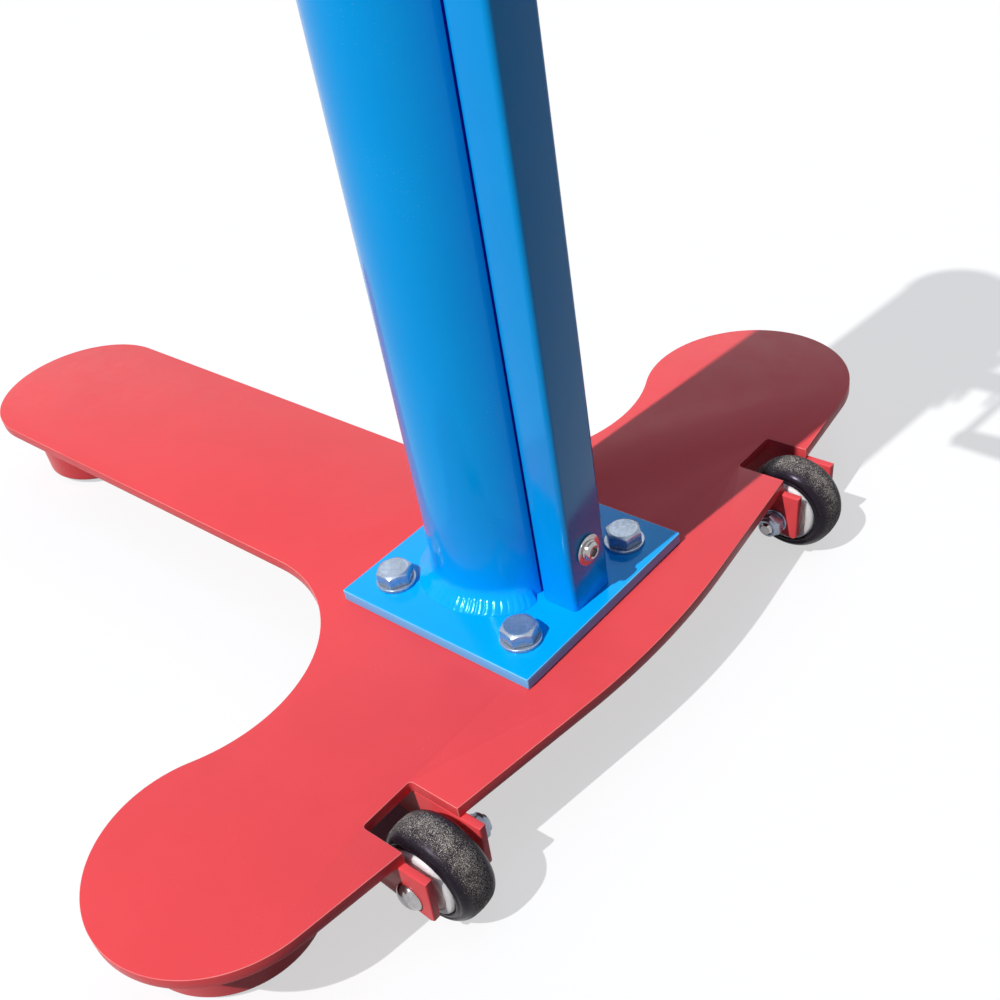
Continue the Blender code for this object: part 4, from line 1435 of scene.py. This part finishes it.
# ---------------------------------------------------------------------------- flange and post
@dataclass
class BoltedFoot:
    """The square flange and its four bolts, washers and nuts."""

    shop: Workshop
    corner: float = 0.0012
    edge: float = 0.0006
    flats: float = 0.024
    head: float = 0.010
    dish: float = 0.00035
    dish_rim: float = 0.0016
    thread: Thread = Thread(radius=0.008, pitch=2.0e-3)
    thread_length: float = 0.026
    washer_bore: float = 0.0086
    spins: tuple[float, ...] = (29.0, 18.0, -14.0, 21.0)

    def build(self) -> None:
        """Builds the flange and its four sets of fasteners."""
        self._flange()
        for number, spin in enumerate(self.spins, start=1):
            self._fastener(number, math.radians(spin))

    def _flange(self) -> None:
        """The square flange, with a layer that marks its sides for a painted side light."""
        low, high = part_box("flange_plate")
        thick = high.z - low.z
        plate = cut_plate(rectangle(low, high, self.corner), thick, self.edge, 4)
        # The sides take a painted side light, lighter than the top.
        layer = plate.verts.layers.float.new(Layer.PAINTED_SIDE_LIGHT.value)
        for vert in plate.verts:
            vert[layer] = float(self.edge - MERGE < vert.co.z < thick - self.edge + MERGE)
        plate = sent(plate, Facing.UP, Vector((0.0, 0.0, low.z)))
        self.shop.piece("flange_square", plate, Slot.BLUE, stands_for=["flange_plate"], edge_paint_and_highlight=True)

    def _fastener(self, number: int, spin: float) -> None:
        """One bolt, its washer and its nut.

        Args:
            number: the bolt's number in node names.
            spin: the bolt's turn, in radians.
        """
        bolt_node, washer_node, nut_node = (f"flange_{part}_{number}" for part in ("bolt", "washer", "nut"))
        washer_low, washer_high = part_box(washer_node)
        axis = middle(washer_node)
        low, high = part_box(bolt_node)
        seat = high.z - self.head
        length = seat - low.z
        shank = self.thread.radius
        profile = [(0.0, 0.001, 0.0), (shank, 0.001, 0.0), (shank, -length + self.thread_length, 0.0)]
        profile += self.thread.profile(-length + self.thread_length - 0.0002, -length + 0.0018)
        profile += [(0.0062, -length, 0.0), (0.0, -length, 0.0)]
        bolt = together([self._head(), turned(profile, 64)])
        bolt = sent(bolt, Facing.UP, Vector((axis.x, axis.y, seat)), spin)
        self.shop.piece(f"{bolt_node}_hex", bolt, Slot.ZINC, stands_for=[bolt_node], sharp=28.0)
        radius, thick = (washer_high.x - washer_low.x) / 2.0, washer_high.z - washer_low.z
        ring = flat_ring(self.washer_bore, radius, thick, (0.0003, 0.0004, 0.0007, 0.0004))
        ring = sent(ring, Facing.UP, Vector((axis.x, axis.y, washer_low.z)))
        self.shop.piece(f"{washer_node}_ring", ring, Slot.ZINC, stands_for=[washer_node])
        low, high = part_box(nut_node)
        nut = Hexagon(self.flats, high.z - low.z, True).solid()
        nut = sent(nut, Facing.DOWN, Vector((axis.x, axis.y, high.z)), spin)
        self.shop.piece(f"{nut_node}_hex", nut, Slot.ZINC, stands_for=[nut_node], sharp=28.0)

    def _head(self) -> BMesh:
        """A hexagon head with a shallow dished top.

        Returns:
            The head, from z = 0 upwards.
        """
        solid = Hexagon(self.flats, self.head).solid()
        crown = max(solid.faces, key=lambda f: f.calc_center_median().z + f.calc_area())
        bmesh.ops.inset_region(solid, faces=[crown], thickness=self.dish_rim, depth=-self.dish)
        return solid


@dataclass
class PostColumn:
    """The round post, its weld, the side tube and the button bolt low on it."""

    shop: Workshop
    weld: WeldBead = WeldBead(leg=0.0125, pitch=4.7e-3, ripple=7.0e-4, calm=0.10, cuts=12)
    weld_start: float = 24.0
    seam_bead: WeldBead = WeldBead(leg=0.0050, pitch=4.0e-3, ripple=2.0e-4)
    # Half the width of the post's strip facing the tube that takes the painted gap shade.
    painted_gap_shade_half: float = 0.0145
    tube_corner: float = 0.004
    washer_bore: float = 0.0046
    socket_radius: float = 0.0046
    socket_flats: float = 0.0034
    socket_depth: float = 0.0028

    def build(self) -> None:
        """Builds the post, the weld, the tube and the button."""
        self._post()
        self._tube()
        self._seam()
        self._button()

    def _post(self) -> None:
        """The round post, with a layer that marks its strip facing the tube for a painted shade in the gap,
        and the weld at its foot.
        """
        low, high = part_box("main_post")
        axis = (low + high) / 2.0
        radius = (high.x - low.x) / 2.0
        profile = [(0.0, low.z, 0.0), (radius, low.z, 0.0), (radius, high.z, 0.0006), (0.0, high.z, 0.0)]
        post = turned(profile, 160, 3)
        # The strip facing the tube is marked for a painted shade in the gap.
        layer = post.verts.layers.float.new(Layer.PAINTED_GAP_SHADE.value)
        for vert in post.verts:
            vert[layer] = float(vert.co.x > 0.0 and abs(vert.co.y) < self.painted_gap_shade_half)
        post = sent(post, Facing.UP, Vector((axis.x, axis.y, 0.0)))
        self.shop.piece("round_post", post, Slot.BLUE, stands_for=["main_post"])
        weld = self.weld.around(radius, self.weld_start, 360.0 - 2.0 * self.weld_start)
        weld = sent(weld, Facing.UP, Vector((axis.x, axis.y, low.z - 0.0002)))
        self.shop.piece("post_foot_weld", weld, Slot.BLUE, stands_for=["post_weld"], sharp=70.0)

    def _seam(self) -> None:
        """The long bead that closes the gap between tube and post on its +Y side."""
        low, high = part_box("side_tube")
        x, y = low.x - 0.0008, high.y - 0.0042
        bead = self.seam_bead.along(
            Vector((x, y, low.z + 0.004)), Vector((x, y, high.z - 0.004)), Vector((0.0, 1.0, 0.0))
        )
        self.shop.piece("tube_seam", bead, Slot.BLUE)

    def _tube(self) -> None:
        """The rectangular tube with its rounded long edges."""
        low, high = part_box("side_tube")
        tube = cut_plate(rectangle(low, high, self.tube_corner), high.z - low.z, 0.0003, 8)
        tube = sent(tube, Facing.UP, Vector((0.0, 0.0, low.z)))
        self.shop.piece("tall_side_tube", tube, Slot.BLUE, stands_for=["side_tube"])

    def _button(self) -> None:
        """The washer and the round-headed socket bolt."""
        low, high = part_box("button_washer")
        radius, thick = (high.z - low.z) / 2.0, high.x - low.x
        seat = Vector((low.x, (low.y + high.y) / 2.0, (low.z + high.z) / 2.0))
        ring = flat_ring(self.washer_bore, radius, thick, (0.0, 0.0002, 0.0005, 0.0))
        ring = sent(ring, Facing.FRONT, seat)
        self.shop.piece("button_washer_ring", ring, Slot.STAINLESS, stands_for=["button_washer"])
        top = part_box("button_bolt")[HIGH].x - seat.x
        head = turned([
            (0.0044, top - 0.0030, 0.0), (0.0044, top, 0.0003), (0.0054, top, 0.0006),
            (0.0066, top - 0.0012, 0.0008), (0.0069, thick + 0.0009, 0.0003),
            (0.0078, thick + 0.0007, 0.0003), (0.0078, thick, 0.0), (0.0, thick, 0.0),
            (0.0, top - 0.0034, 0.0),
        ], 96, 4)
        bolt = sent(together([head, self._socket(top)]), Facing.FRONT, seat)
        self.shop.piece("button_bolt_head", bolt, Slot.STAINLESS, stands_for=["button_bolt"], sharp=35.0)

    def _socket(self, top: float) -> BMesh:
        """The hexagon socket's mouth and walls.

        Args:
            top: the height of the bolt's head.

        Returns:
            The open shell that lines the head's hollow.
        """
        bm = bmesh.new()
        bmesh.ops.create_circle(bm, cap_ends=False, radius=self.socket_radius, segments=48)
        bmesh.ops.translate(bm, verts=bm.verts[:], vec=(0.0, 0.0, top + 0.0001))
        mouth = bmesh.ops.extrude_edge_only(bm, edges=bm.edges[:])["geom"]
        for vert in (g for g in mouth if isinstance(g, BMVert)):
            angle = math.atan2(vert.co.y, vert.co.x)
            off_flat = (angle % (math.pi / 3.0)) - math.pi / 6.0
            reach = self.socket_flats / math.cos(off_flat)
            vert.co = Vector((math.cos(angle) * reach, math.sin(angle) * reach, top - 0.0001))
        lip = [e for e in bm.edges if all(v in mouth for v in e.verts)]
        walls = bmesh.ops.extrude_edge_only(bm, edges=lip)["geom"]
        dropped = [g for g in walls if isinstance(g, BMVert)]
        bmesh.ops.translate(bm, verts=dropped, vec=(0.0, 0.0, -self.socket_depth))
        bmesh.ops.recalc_face_normals(bm, faces=bm.faces[:])
        return bm


# ---------------------------------------------------------------------------- head
@dataclass
class RopeHead:
    """The cap over both tubes, the two cheeks and the grooved sheave."""

    shop: Workshop
    cap_edge: float = 0.0010
    cheek_edge: float = 0.0007
    cheek_bead: WeldBead = WeldBead(leg=0.0042, pitch=2.2e-3, ripple=2.2e-4)
    cap_bead: WeldBead = WeldBead(leg=0.0022, pitch=2.4e-3, ripple=1.4e-4)
    thread: Thread = Thread(radius=0.005, pitch=1.4e-3)
    thread_length: float = 0.016
    nut_flats: float = 0.017
    bolt_turn: float = 0.2
    nut_turn: float = 0.5

    def build(self) -> None:
        """Builds the cap, cheeks, sheave, bolt and nut, and the welds between them."""
        cap = refined("head_plate", self.cap_edge, 3)
        self.shop.piece("head_cap", cap, Slot.BLUE, stands_for=["head_plate"])
        for label in ("left", "right"):
            node = "pulley_cheek_" + label
            cheek = refined(node, self.cheek_edge, 3)
            self.shop.piece(f"{node}_plate", cheek, Slot.BLUE, stands_for=[node])
            low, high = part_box(node)
            y, way = (low.y, -1.0) if label == "left" else (high.y, 1.0)
            start, end = Vector((low.x + 0.002, y, low.z)), Vector((high.x - 0.002, y, low.z))
            bead = self.cheek_bead.along(start, end, Vector((0.0, way, 1.0)))
            self.shop.piece(f"{node}_weld", bead, Slot.BLUE)
        self._cap_weld()
        self._sheave()
        self._bolt()

    def _cap_weld(self) -> None:
        """The bead under the cap, round the post."""
        low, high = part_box("main_post")
        bead = self.cap_bead.around((high.x - low.x) / 2.0, 30.0, 300.0)
        centre = Vector(((low.x + high.x) / 2.0, 0.0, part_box("head_plate")[LOW].z))
        bmesh.ops.scale(bead, vec=(1.0, 1.0, 2.0), verts=bead.verts[:])
        self.shop.piece("head_cap_weld", sent(bead, Facing.DOWN, centre), Slot.BLUE, sharp=70.0)

    def _sheave(self) -> None:
        """The grooved rope wheel."""
        low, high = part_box("rope_sheave")
        radius, half = (high.z - low.z) / 2.0, (high.y - low.y) / 2.0
        one_side = [
            (0.0051, -half, 0.0), (0.0110, -half, 0.0004), (0.0118, -half + 0.0014, 0.0006),
            (0.0208, -half + 0.0014, 0.0008), (0.0216, -half, 0.0004), (radius, -half, 0.0007),
            (radius, -half + 0.0014, 0.0004), (radius - 0.0042, -0.0032, 0.0024),
            (radius - 0.0056, -0.0012, 0.0011),
        ]
        wheel = turned(one_side + mirrored(one_side), 128, 4)
        wheel = sent(wheel, Facing.LEFT, (low + high) / 2.0)
        self.shop.piece("grooved_sheave", wheel, Slot.NYLON, "sheave", ["rope_sheave"], 35.0)

    def _bolt(self) -> None:
        """The sheave's bolt and its nut."""
        centre, radius = middle("rope_sheave"), self.thread.radius
        low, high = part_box("sheave_bolt")
        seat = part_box("pulley_cheek_left")[LOW].y - SEAT_GAP
        length = high.y - seat
        profile = [(0.0, 0.0005, 0.0), (radius, 0.0005, 0.0), (radius, -length + self.thread_length, 0.0)]
        profile += self.thread.profile(-length + self.thread_length - 0.0002, -length + 0.0010)
        profile += [(0.0042, -length, 0.0), (0.0, -length, 0.0)]
        bolt = together([Hexagon(self.nut_flats, seat - low.y).solid(), turned(profile, 64)])
        bolt = sent(bolt, Facing.LEFT, Vector((centre.x, seat, centre.z)), self.bolt_turn)
        self.shop.piece("sheave_bolt_hex", bolt, Slot.ZINC, stands_for=["sheave_bolt"], sharp=28.0)
        low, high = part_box("sheave_nut")
        nut = Hexagon(self.nut_flats, high.y - low.y, True).solid()
        nut = sent(nut, Facing.RIGHT, Vector((centre.x, low.y, centre.z)), self.nut_turn)
        self.shop.piece("sheave_nut_hex", nut, Slot.ZINC, stands_for=["sheave_nut"], sharp=28.0)


# ---------------------------------------------------------------------------- winch
@dataclass
class RatchetWinch:
    """The rope winch on the side tube: plate, drum, crank, grip, pawl and their pins."""

    shop: Workshop
    plate_edge: float = 0.0008
    plate_bead: WeldBead = WeldBead(leg=0.0050, pitch=2.4e-3, ripple=2.6e-4)
    ratchet_edge: float = 0.00045
    crank_edge: float = 0.0006
    pawl_edge: float = 0.0005
    pin_edge: float = 0.0002
    grip_ribs: int = 13
    thread: Thread = Thread(radius=0.006, pitch=1.5e-3)
    spacer_radius: float = 0.0105
    nut_flats: float = 0.019
    collar_height: float = 0.003

    def __post_init__(self) -> None:
        """Reads the winch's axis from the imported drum."""
        self.axis = middle("rope_drum")

    def build(self) -> None:
        """Builds every piece of the winch."""
        self._plate()
        self._drum()
        self._crank()
        self._grip()
        self._pawl()
        self._spindle()

    def _plate(self) -> None:
        """The back plate and the two beads that hold it to the tube."""
        low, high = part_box("winch_plate")
        plate = refined("winch_plate", self.plate_edge, 3)
        self.shop.piece("winch_back_plate", plate, Slot.BLUE, stands_for=["winch_plate"])
        tube_low, tube_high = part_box("side_tube")
        for label, y, way in (("left", tube_low.y + 0.003, -1.0), ("right", tube_high.y - 0.003, 1.0)):
            start, end = Vector((low.x, y, low.z + 0.012)), Vector((low.x, y, high.z - 0.012))
            bead = self.plate_bead.along(start, end, Vector((-0.6, way, 0.0)))
            self.shop.piece(f"winch_plate_weld_{label}", bead, Slot.BLUE)

    def _drum(self) -> None:
        """The rope drum with its toothed back flange."""
        ratchet = refined("rope_drum", self.ratchet_edge, 2)
        self.shop.piece("ratchet_drum", ratchet, Slot.ZINC, "winch", ["rope_drum"], 30.0)

    def _crank(self) -> None:
        """The crank arm and the grip's pin."""
        bar = refined("crank_arm", self.crank_edge, 3)
        self.shop.piece("crank_bar", bar, Slot.ZINC, "winch", ["crank_arm"])
        low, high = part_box("grip_pin")
        centre = Vector((low.x, (low.y + high.y) / 2.0, (low.z + high.z) / 2.0))
        length = high.x - low.x
        pin = turned([
            (0.0, 0.0, 0.0), (0.0058, 0.0, 0.0004), (0.0070, 0.0010, 0.0004), (0.0070, 0.0027, 0.0),
            (0.0040, 0.0027, 0.0), (0.0040, length - 0.0030, 0.0), (0.0072, length - 0.0030, 0.0002),
            (0.0072, length - 0.0016, 0.0006), (0.0048, length, 0.0008), (0.0, length, 0.0),
        ], 64, 3)
        pin = sent(pin, Facing.FRONT, centre)
        self.shop.piece("grip_pin_turned", pin, Slot.ZINC, "winch", ["grip_pin"])

    def _grip(self) -> None:
        """The turned grip, swollen in its middle and ribbed round."""
        low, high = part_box("crank_grip")
        length, radius = high.x - low.x, (high.z - low.z) / 2.0
        corners = [(0.0041, 0.0, 0.0), (0.0105, 0.0, 0.0006), (0.0119, 0.0032, 0.0008)]
        for rib in range(self.grip_ribs):
            t = 0.08 + 0.80 * rib / (self.grip_ribs - 1.0)
            start, swell = length * t, radius - 0.0019 * (2.0 * abs(t - 0.55)) ** 1.6
            corners += [(swell - 0.0007, start - 0.0006, 0.0003), (swell, start + 0.0006, 0.0005)]
            corners += [(swell, start + 0.0028, 0.0005), (swell - 0.0007, start + 0.0040, 0.0003)]
        corners += [(0.0120, length - 0.0028, 0.0010), (0.0098, length, 0.0010), (0.0041, length, 0.0)]
        pin = middle("grip_pin")
        grip = sent(turned(corners, 96, 3), Facing.FRONT, Vector((low.x, pin.y, pin.z)))
        self.shop.piece("ribbed_grip", grip, Slot.GRIP, "grip", ["crank_grip"])

    def _pawl(self) -> None:
        """The pawl, its pin and its stop."""
        pawl = refined("winch_pawl", self.pawl_edge, 3)
        self.shop.piece("flip_pawl", pawl, Slot.ZINC, "pawl", ["winch_pawl"])
        for node in ("pawl_pin", "pawl_stop"):
            pin = refined(node, self.pin_edge, 2)
            self.shop.piece(f"{node}_turned", pin, Slot.ZINC, stands_for=[node])

    def _spindle(self) -> None:
        """The spindle with its threaded end, and the lock nut on it."""
        low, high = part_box("winch_spindle")
        r, length = self.thread.radius, high.x - low.x
        nut_low, nut_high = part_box("spindle_nut")
        start = nut_low.x - low.x - 0.001
        drum_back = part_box("rope_drum")[LOW].x - low.x - SEAT_GAP
        plate_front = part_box("winch_plate")[HIGH].x - low.x
        corners = [
            (0.0, 0.0, 0.0), (r, 0.0, 0.0), (r, plate_front, 0.0),
            (self.spacer_radius, plate_front + 0.0001, 0.0), (self.spacer_radius, drum_back, 0.0),
            (r, drum_back, 0.0), (r, start, 0.0),
        ]
        corners += self.thread.profile(start, length - 0.0010)
        corners += [(0.0050, length, 0.0), (0.0, length, 0.0)]
        spindle = sent(turned(corners, 64), Facing.FRONT, Vector((low.x, self.axis.y, self.axis.z)))
        self.shop.piece("spindle_turned", spindle, Slot.ZINC, stands_for=["winch_spindle"], sharp=30.0)
        height = nut_high.x - nut_low.x - self.collar_height
        nut = Hexagon(self.nut_flats, height, True).solid()
        collar = turned([
            (0.0058, height - 0.0004, 0.0), (0.0088, height - 0.0004, 0.0),
            (0.0086, height + 0.0022, 0.0006), (0.0074, height + 0.0030, 0.0006),
            (0.0064, height + 0.0030, 0.0003), (0.0062, height + 0.0016, 0.0),
            (0.0058, height + 0.0016, 0.0),
        ])
        both = sent(together([nut, collar]), Facing.FRONT, Vector((nut_low.x, self.axis.y, self.axis.z)))
        self.shop.piece("spindle_nut_hex", both, Slot.ZINC, stands_for=["spindle_nut"], sharp=30.0)


# ---------------------------------------------------------------------------- studio
def heading(azimuth: float, elevation: float) -> Vector:
    """The direction at an azimuth from +X and an elevation.

    Args:
        azimuth: the azimuth, in degrees.
        elevation: the elevation, in degrees.

    Returns:
        A vector of length 1.
    """
    a, e = math.radians(azimuth), math.radians(elevation)
    return Vector((math.cos(e) * math.cos(a), math.cos(e) * math.sin(a), math.sin(e)))


@dataclass(frozen=True)
class Sun:
    """A lamp like low studio sun, by where it stands."""

    name: str
    azimuth: float
    elevation: float
    strength: float
    softness: float
    colour: Rgb = (1.0, 1.0, 1.0)
    distance: float = 4.0

    def build(self) -> None:
        """Adds the lamp."""
        lamp = bpy.data.lights.new(self.name, "SUN")
        lamp.energy = self.strength
        lamp.angle = math.radians(self.softness)
        lamp.color = self.colour
        holder = bpy.data.objects.new(self.name, lamp)
        towards = heading(self.azimuth, self.elevation)
        holder.rotation_euler = towards.to_track_quat("Z", "Y").to_euler()
        holder.location = towards * self.distance
        bpy.context.scene.collection.objects.link(holder)


@dataclass
class Studio:
    """The pale floor, the lamps, the white surround and the camera."""

    ambient: Rgb = (0.100, 0.108, 0.155)
    white: Rgb = (1.0, 1.0, 1.0)
    floor_bounce: float = 0.06
    floor_share: float = 0.60
    floor_tone: float = 0.97
    floor_radius: float = 9.0
    floor_drop: float = 0.0005
    shade_radius: float = 0.042
    shade_core: float = 0.7
    shade_tone: float = 0.45
    shade_from_wheels: dict[str, tuple[float, float]] = field(
        default_factory=lambda: {"tyre_left": (-0.084, 0.034), "tyre_right": (-0.081, 0.086)}
    )
    key: Sun = Sun("key_lamp", -95.5, 53.0, 3.30, 0.7)
    overhead: Sun = Sun("overhead_lamp", -60.0, 84.0, 0.15, 40.0, (0.86, 0.93, 1.0))
    fill: Sun = Sun("fill_lamp", 120.0, 35.0, 0.30, 40.0, (0.92, 0.96, 1.0))
    camera_at: Triple = (0.7264, -0.4820, 0.6501)
    camera_azimuth: float = -42.222
    camera_elevation: float = 40.500
    camera_roll: float = -11.408
    focal_pixels: float = 1226.1
    principal_y: float = 600.0
    image: float = 1000.0
    sensor: float = 36.0
    nearest: float = 0.01
    farthest: float = 50.0

    def build(self) -> None:
        """Sets up the whole studio."""
        self._floor()
        self._world()
        for lamp in (self.key, self.overhead, self.fill):
            lamp.build()
        self._camera()
        bpy.context.scene.view_settings.view_transform = "Standard"

    @staticmethod
    def _seen(tree: bpy.types.NodeTree) -> Any:
        """A factor of 1 where the camera, a gloss or a clear surface looks.

        Args:
            tree: the node tree to add to.

        Returns:
            The factor's socket.
        """
        path = tree.nodes.new("ShaderNodeLightPath")
        total = path.outputs["Is Camera Ray"]
        for name in ("Is Glossy Ray", "Is Transmission Ray"):
            both = tree.nodes.new("ShaderNodeMath")
            both.operation = "MAXIMUM"
            tree.links.new(total, both.inputs[0])
            tree.links.new(path.outputs[name], both.inputs[1])
            total = both.outputs[0]
        return total

    @staticmethod
    def _mix(
        tree: bpy.types.NodeTree, factor: Any, first: bpy.types.Node, second: bpy.types.Node
    ) -> bpy.types.Node:
        """Mixes two shaders.

        Args:
            tree: the node tree to add to.
            factor: the socket that gives the second shader's share.
            first: the first shader.
            second: the second shader.

        Returns:
            The Mix Shader node.
        """
        mix = tree.nodes.new("ShaderNodeMixShader")
        tree.links.new(factor, mix.inputs[0])
        tree.links.new(first.outputs[0], mix.inputs[1])
        tree.links.new(second.outputs[0], mix.inputs[2])
        return mix

    def _floor(self) -> None:
        """A wide pale floor that keeps the stand's shadow."""
        bm = bmesh.new()
        bmesh.ops.create_circle(bm, cap_ends=True, radius=self.floor_radius, segments=96)
        mesh = bpy.data.meshes.new("studio_floor")
        bm.to_mesh(mesh)
        bm.free()
        mesh.materials.append(self._floor_paint())
        floor = bpy.data.objects.new("studio_floor", mesh)
        floor.location = (0.0, 0.0, -self.floor_drop)
        bpy.context.scene.collection.objects.link(floor)
        floor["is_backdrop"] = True

    def _floor_paint(self) -> bpy.types.Material:
        """Pale to look at, and dim in the light that it throws back on the stand.

        Returns:
            The floor's material.
        """
        material = bpy.data.materials.new("studio_floor")
        material.use_nodes = True
        tree = material.node_tree
        tree.nodes.remove(tree.nodes["Principled BSDF"])
        paint = tree.nodes.new("ShaderNodeBsdfDiffuse")
        white = tree.nodes.new("ShaderNodeEmission")
        white.inputs["Color"].default_value = (*self.white, 1.0)
        share = self._open_share(tree)
        tone = tree.nodes.new("ShaderNodeMapRange")
        tone.inputs["From Max"].default_value = self.floor_share
        tone.inputs["To Min"].default_value = self.shade_tone
        tone.inputs["To Max"].default_value = self.floor_tone
        tree.links.new(share, tone.inputs["Value"])
        tree.links.new(tone.outputs["Result"], paint.inputs["Color"])
        bright = self._mix(tree, share, paint, white)
        dim = tree.nodes.new("ShaderNodeBsdfDiffuse")
        dim.inputs["Color"].default_value = (self.floor_bounce,) * 3 + (1.0,)
        look = self._mix(tree, self._seen(tree), dim, bright)
        tree.links.new(look.outputs[0], tree.nodes["Material Output"].inputs["Surface"])
        return material

    def _open_share(self, tree: bpy.types.NodeTree) -> Any:
        """The floor's own brightness, which fails in the deep shade behind each wheel's notch.

        Args:
            tree: the floor's node tree.

        Returns:
            The share's socket.
        """
        where = tree.nodes.new("ShaderNodeTexCoord").outputs["Object"]
        share: Any = None
        for node, offset in self.shade_from_wheels.items():
            wheel = middle(node)
            near = tree.nodes.new("ShaderNodeVectorMath")
            near.operation = "DISTANCE"
            near.inputs[1].default_value = (wheel.x + offset[0], wheel.y + offset[1], 0.0)
            tree.links.new(where, near.inputs[0])
            fade = tree.nodes.new("ShaderNodeMapRange")
            fade.interpolation_type = "SMOOTHSTEP"
            fade.inputs["From Min"].default_value = self.shade_radius * self.shade_core
            fade.inputs["From Max"].default_value = self.shade_radius
            fade.inputs["To Min"].default_value = 0.0
            fade.inputs["To Max"].default_value = self.floor_share
            tree.links.new(near.outputs["Value"], fade.inputs["Value"])
            if share is None:
                share = fade.outputs["Result"]
                continue
            least = tree.nodes.new("ShaderNodeMath")
            least.operation = "MINIMUM"
            tree.links.new(share, least.inputs[0])
            tree.links.new(fade.outputs["Result"], least.inputs[1])
            share = least.outputs[0]
        return share

    def _world(self) -> None:
        """White to look at, and a low even light to stand in."""
        world = bpy.data.worlds.new("studio_world")
        bpy.context.scene.world = world
        world.use_nodes = True
        tree = world.node_tree
        light = tree.nodes["Background"]
        light.inputs["Color"].default_value = (*self.ambient, 1.0)
        white = tree.nodes.new("ShaderNodeBackground")
        white.inputs["Color"].default_value = (*self.white, 1.0)
        look = self._mix(tree, self._seen(tree), light, white)
        tree.links.new(look.outputs[0], tree.nodes["World Output"].inputs["Surface"])

    def _camera(self) -> None:
        """The camera, aimed by azimuth, elevation and roll."""
        data = bpy.data.cameras.new("studio_camera")
        camera = bpy.data.objects.new("studio_camera", data)
        bpy.context.scene.collection.objects.link(camera)
        roll = math.radians(self.camera_roll)
        back = heading(self.camera_azimuth, self.camera_elevation)
        right = (-back).cross(Vector((0.0, 0.0, 1.0))).normalized()
        up = right.cross(-back)
        tilted_right = right * math.cos(roll) + up * math.sin(roll)
        tilted_up = up * math.cos(roll) - right * math.sin(roll)
        axes = Matrix((tilted_right, tilted_up, back)).transposed().to_4x4()
        camera.matrix_world = Matrix.Translation(Vector(self.camera_at)) @ axes
        data.sensor_width = self.sensor
        data.lens = self.focal_pixels * self.sensor / self.image
        data.shift_y = (self.principal_y - self.image / 2.0) / self.image
        data.clip_start = self.nearest
        data.clip_end = self.farthest
        bpy.context.scene.camera = camera


# ---------------------------------------------------------------------------- main
def main() -> None:
    """Builds the studio and every sub-assembly, in order."""
    logging.basicConfig(level=logging.INFO, format="%(name)s: %(message)s")
    Studio().build()
    shop = Workshop(Finishes().palette())
    builders: list[Callable[[], None]] = [
        AnchorBase(shop).build,
        WheelUnit(shop, Side.LEFT).build,
        WheelUnit(shop, Side.RIGHT).build,
        BoltedFoot(shop).build,
        PostColumn(shop).build,
        RopeHead(shop).build,
        RatchetWinch(shop).build,
    ]
    for build in builders:
        build()
    LOG.info("%d pieces made", len(shop.made))
    boxes = {"cad": CAD_BOX, "visual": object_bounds()}
    boxes = {name: [list(corner) for corner in box] for name, box in boxes.items()}


if __name__ == "__main__":
    main()
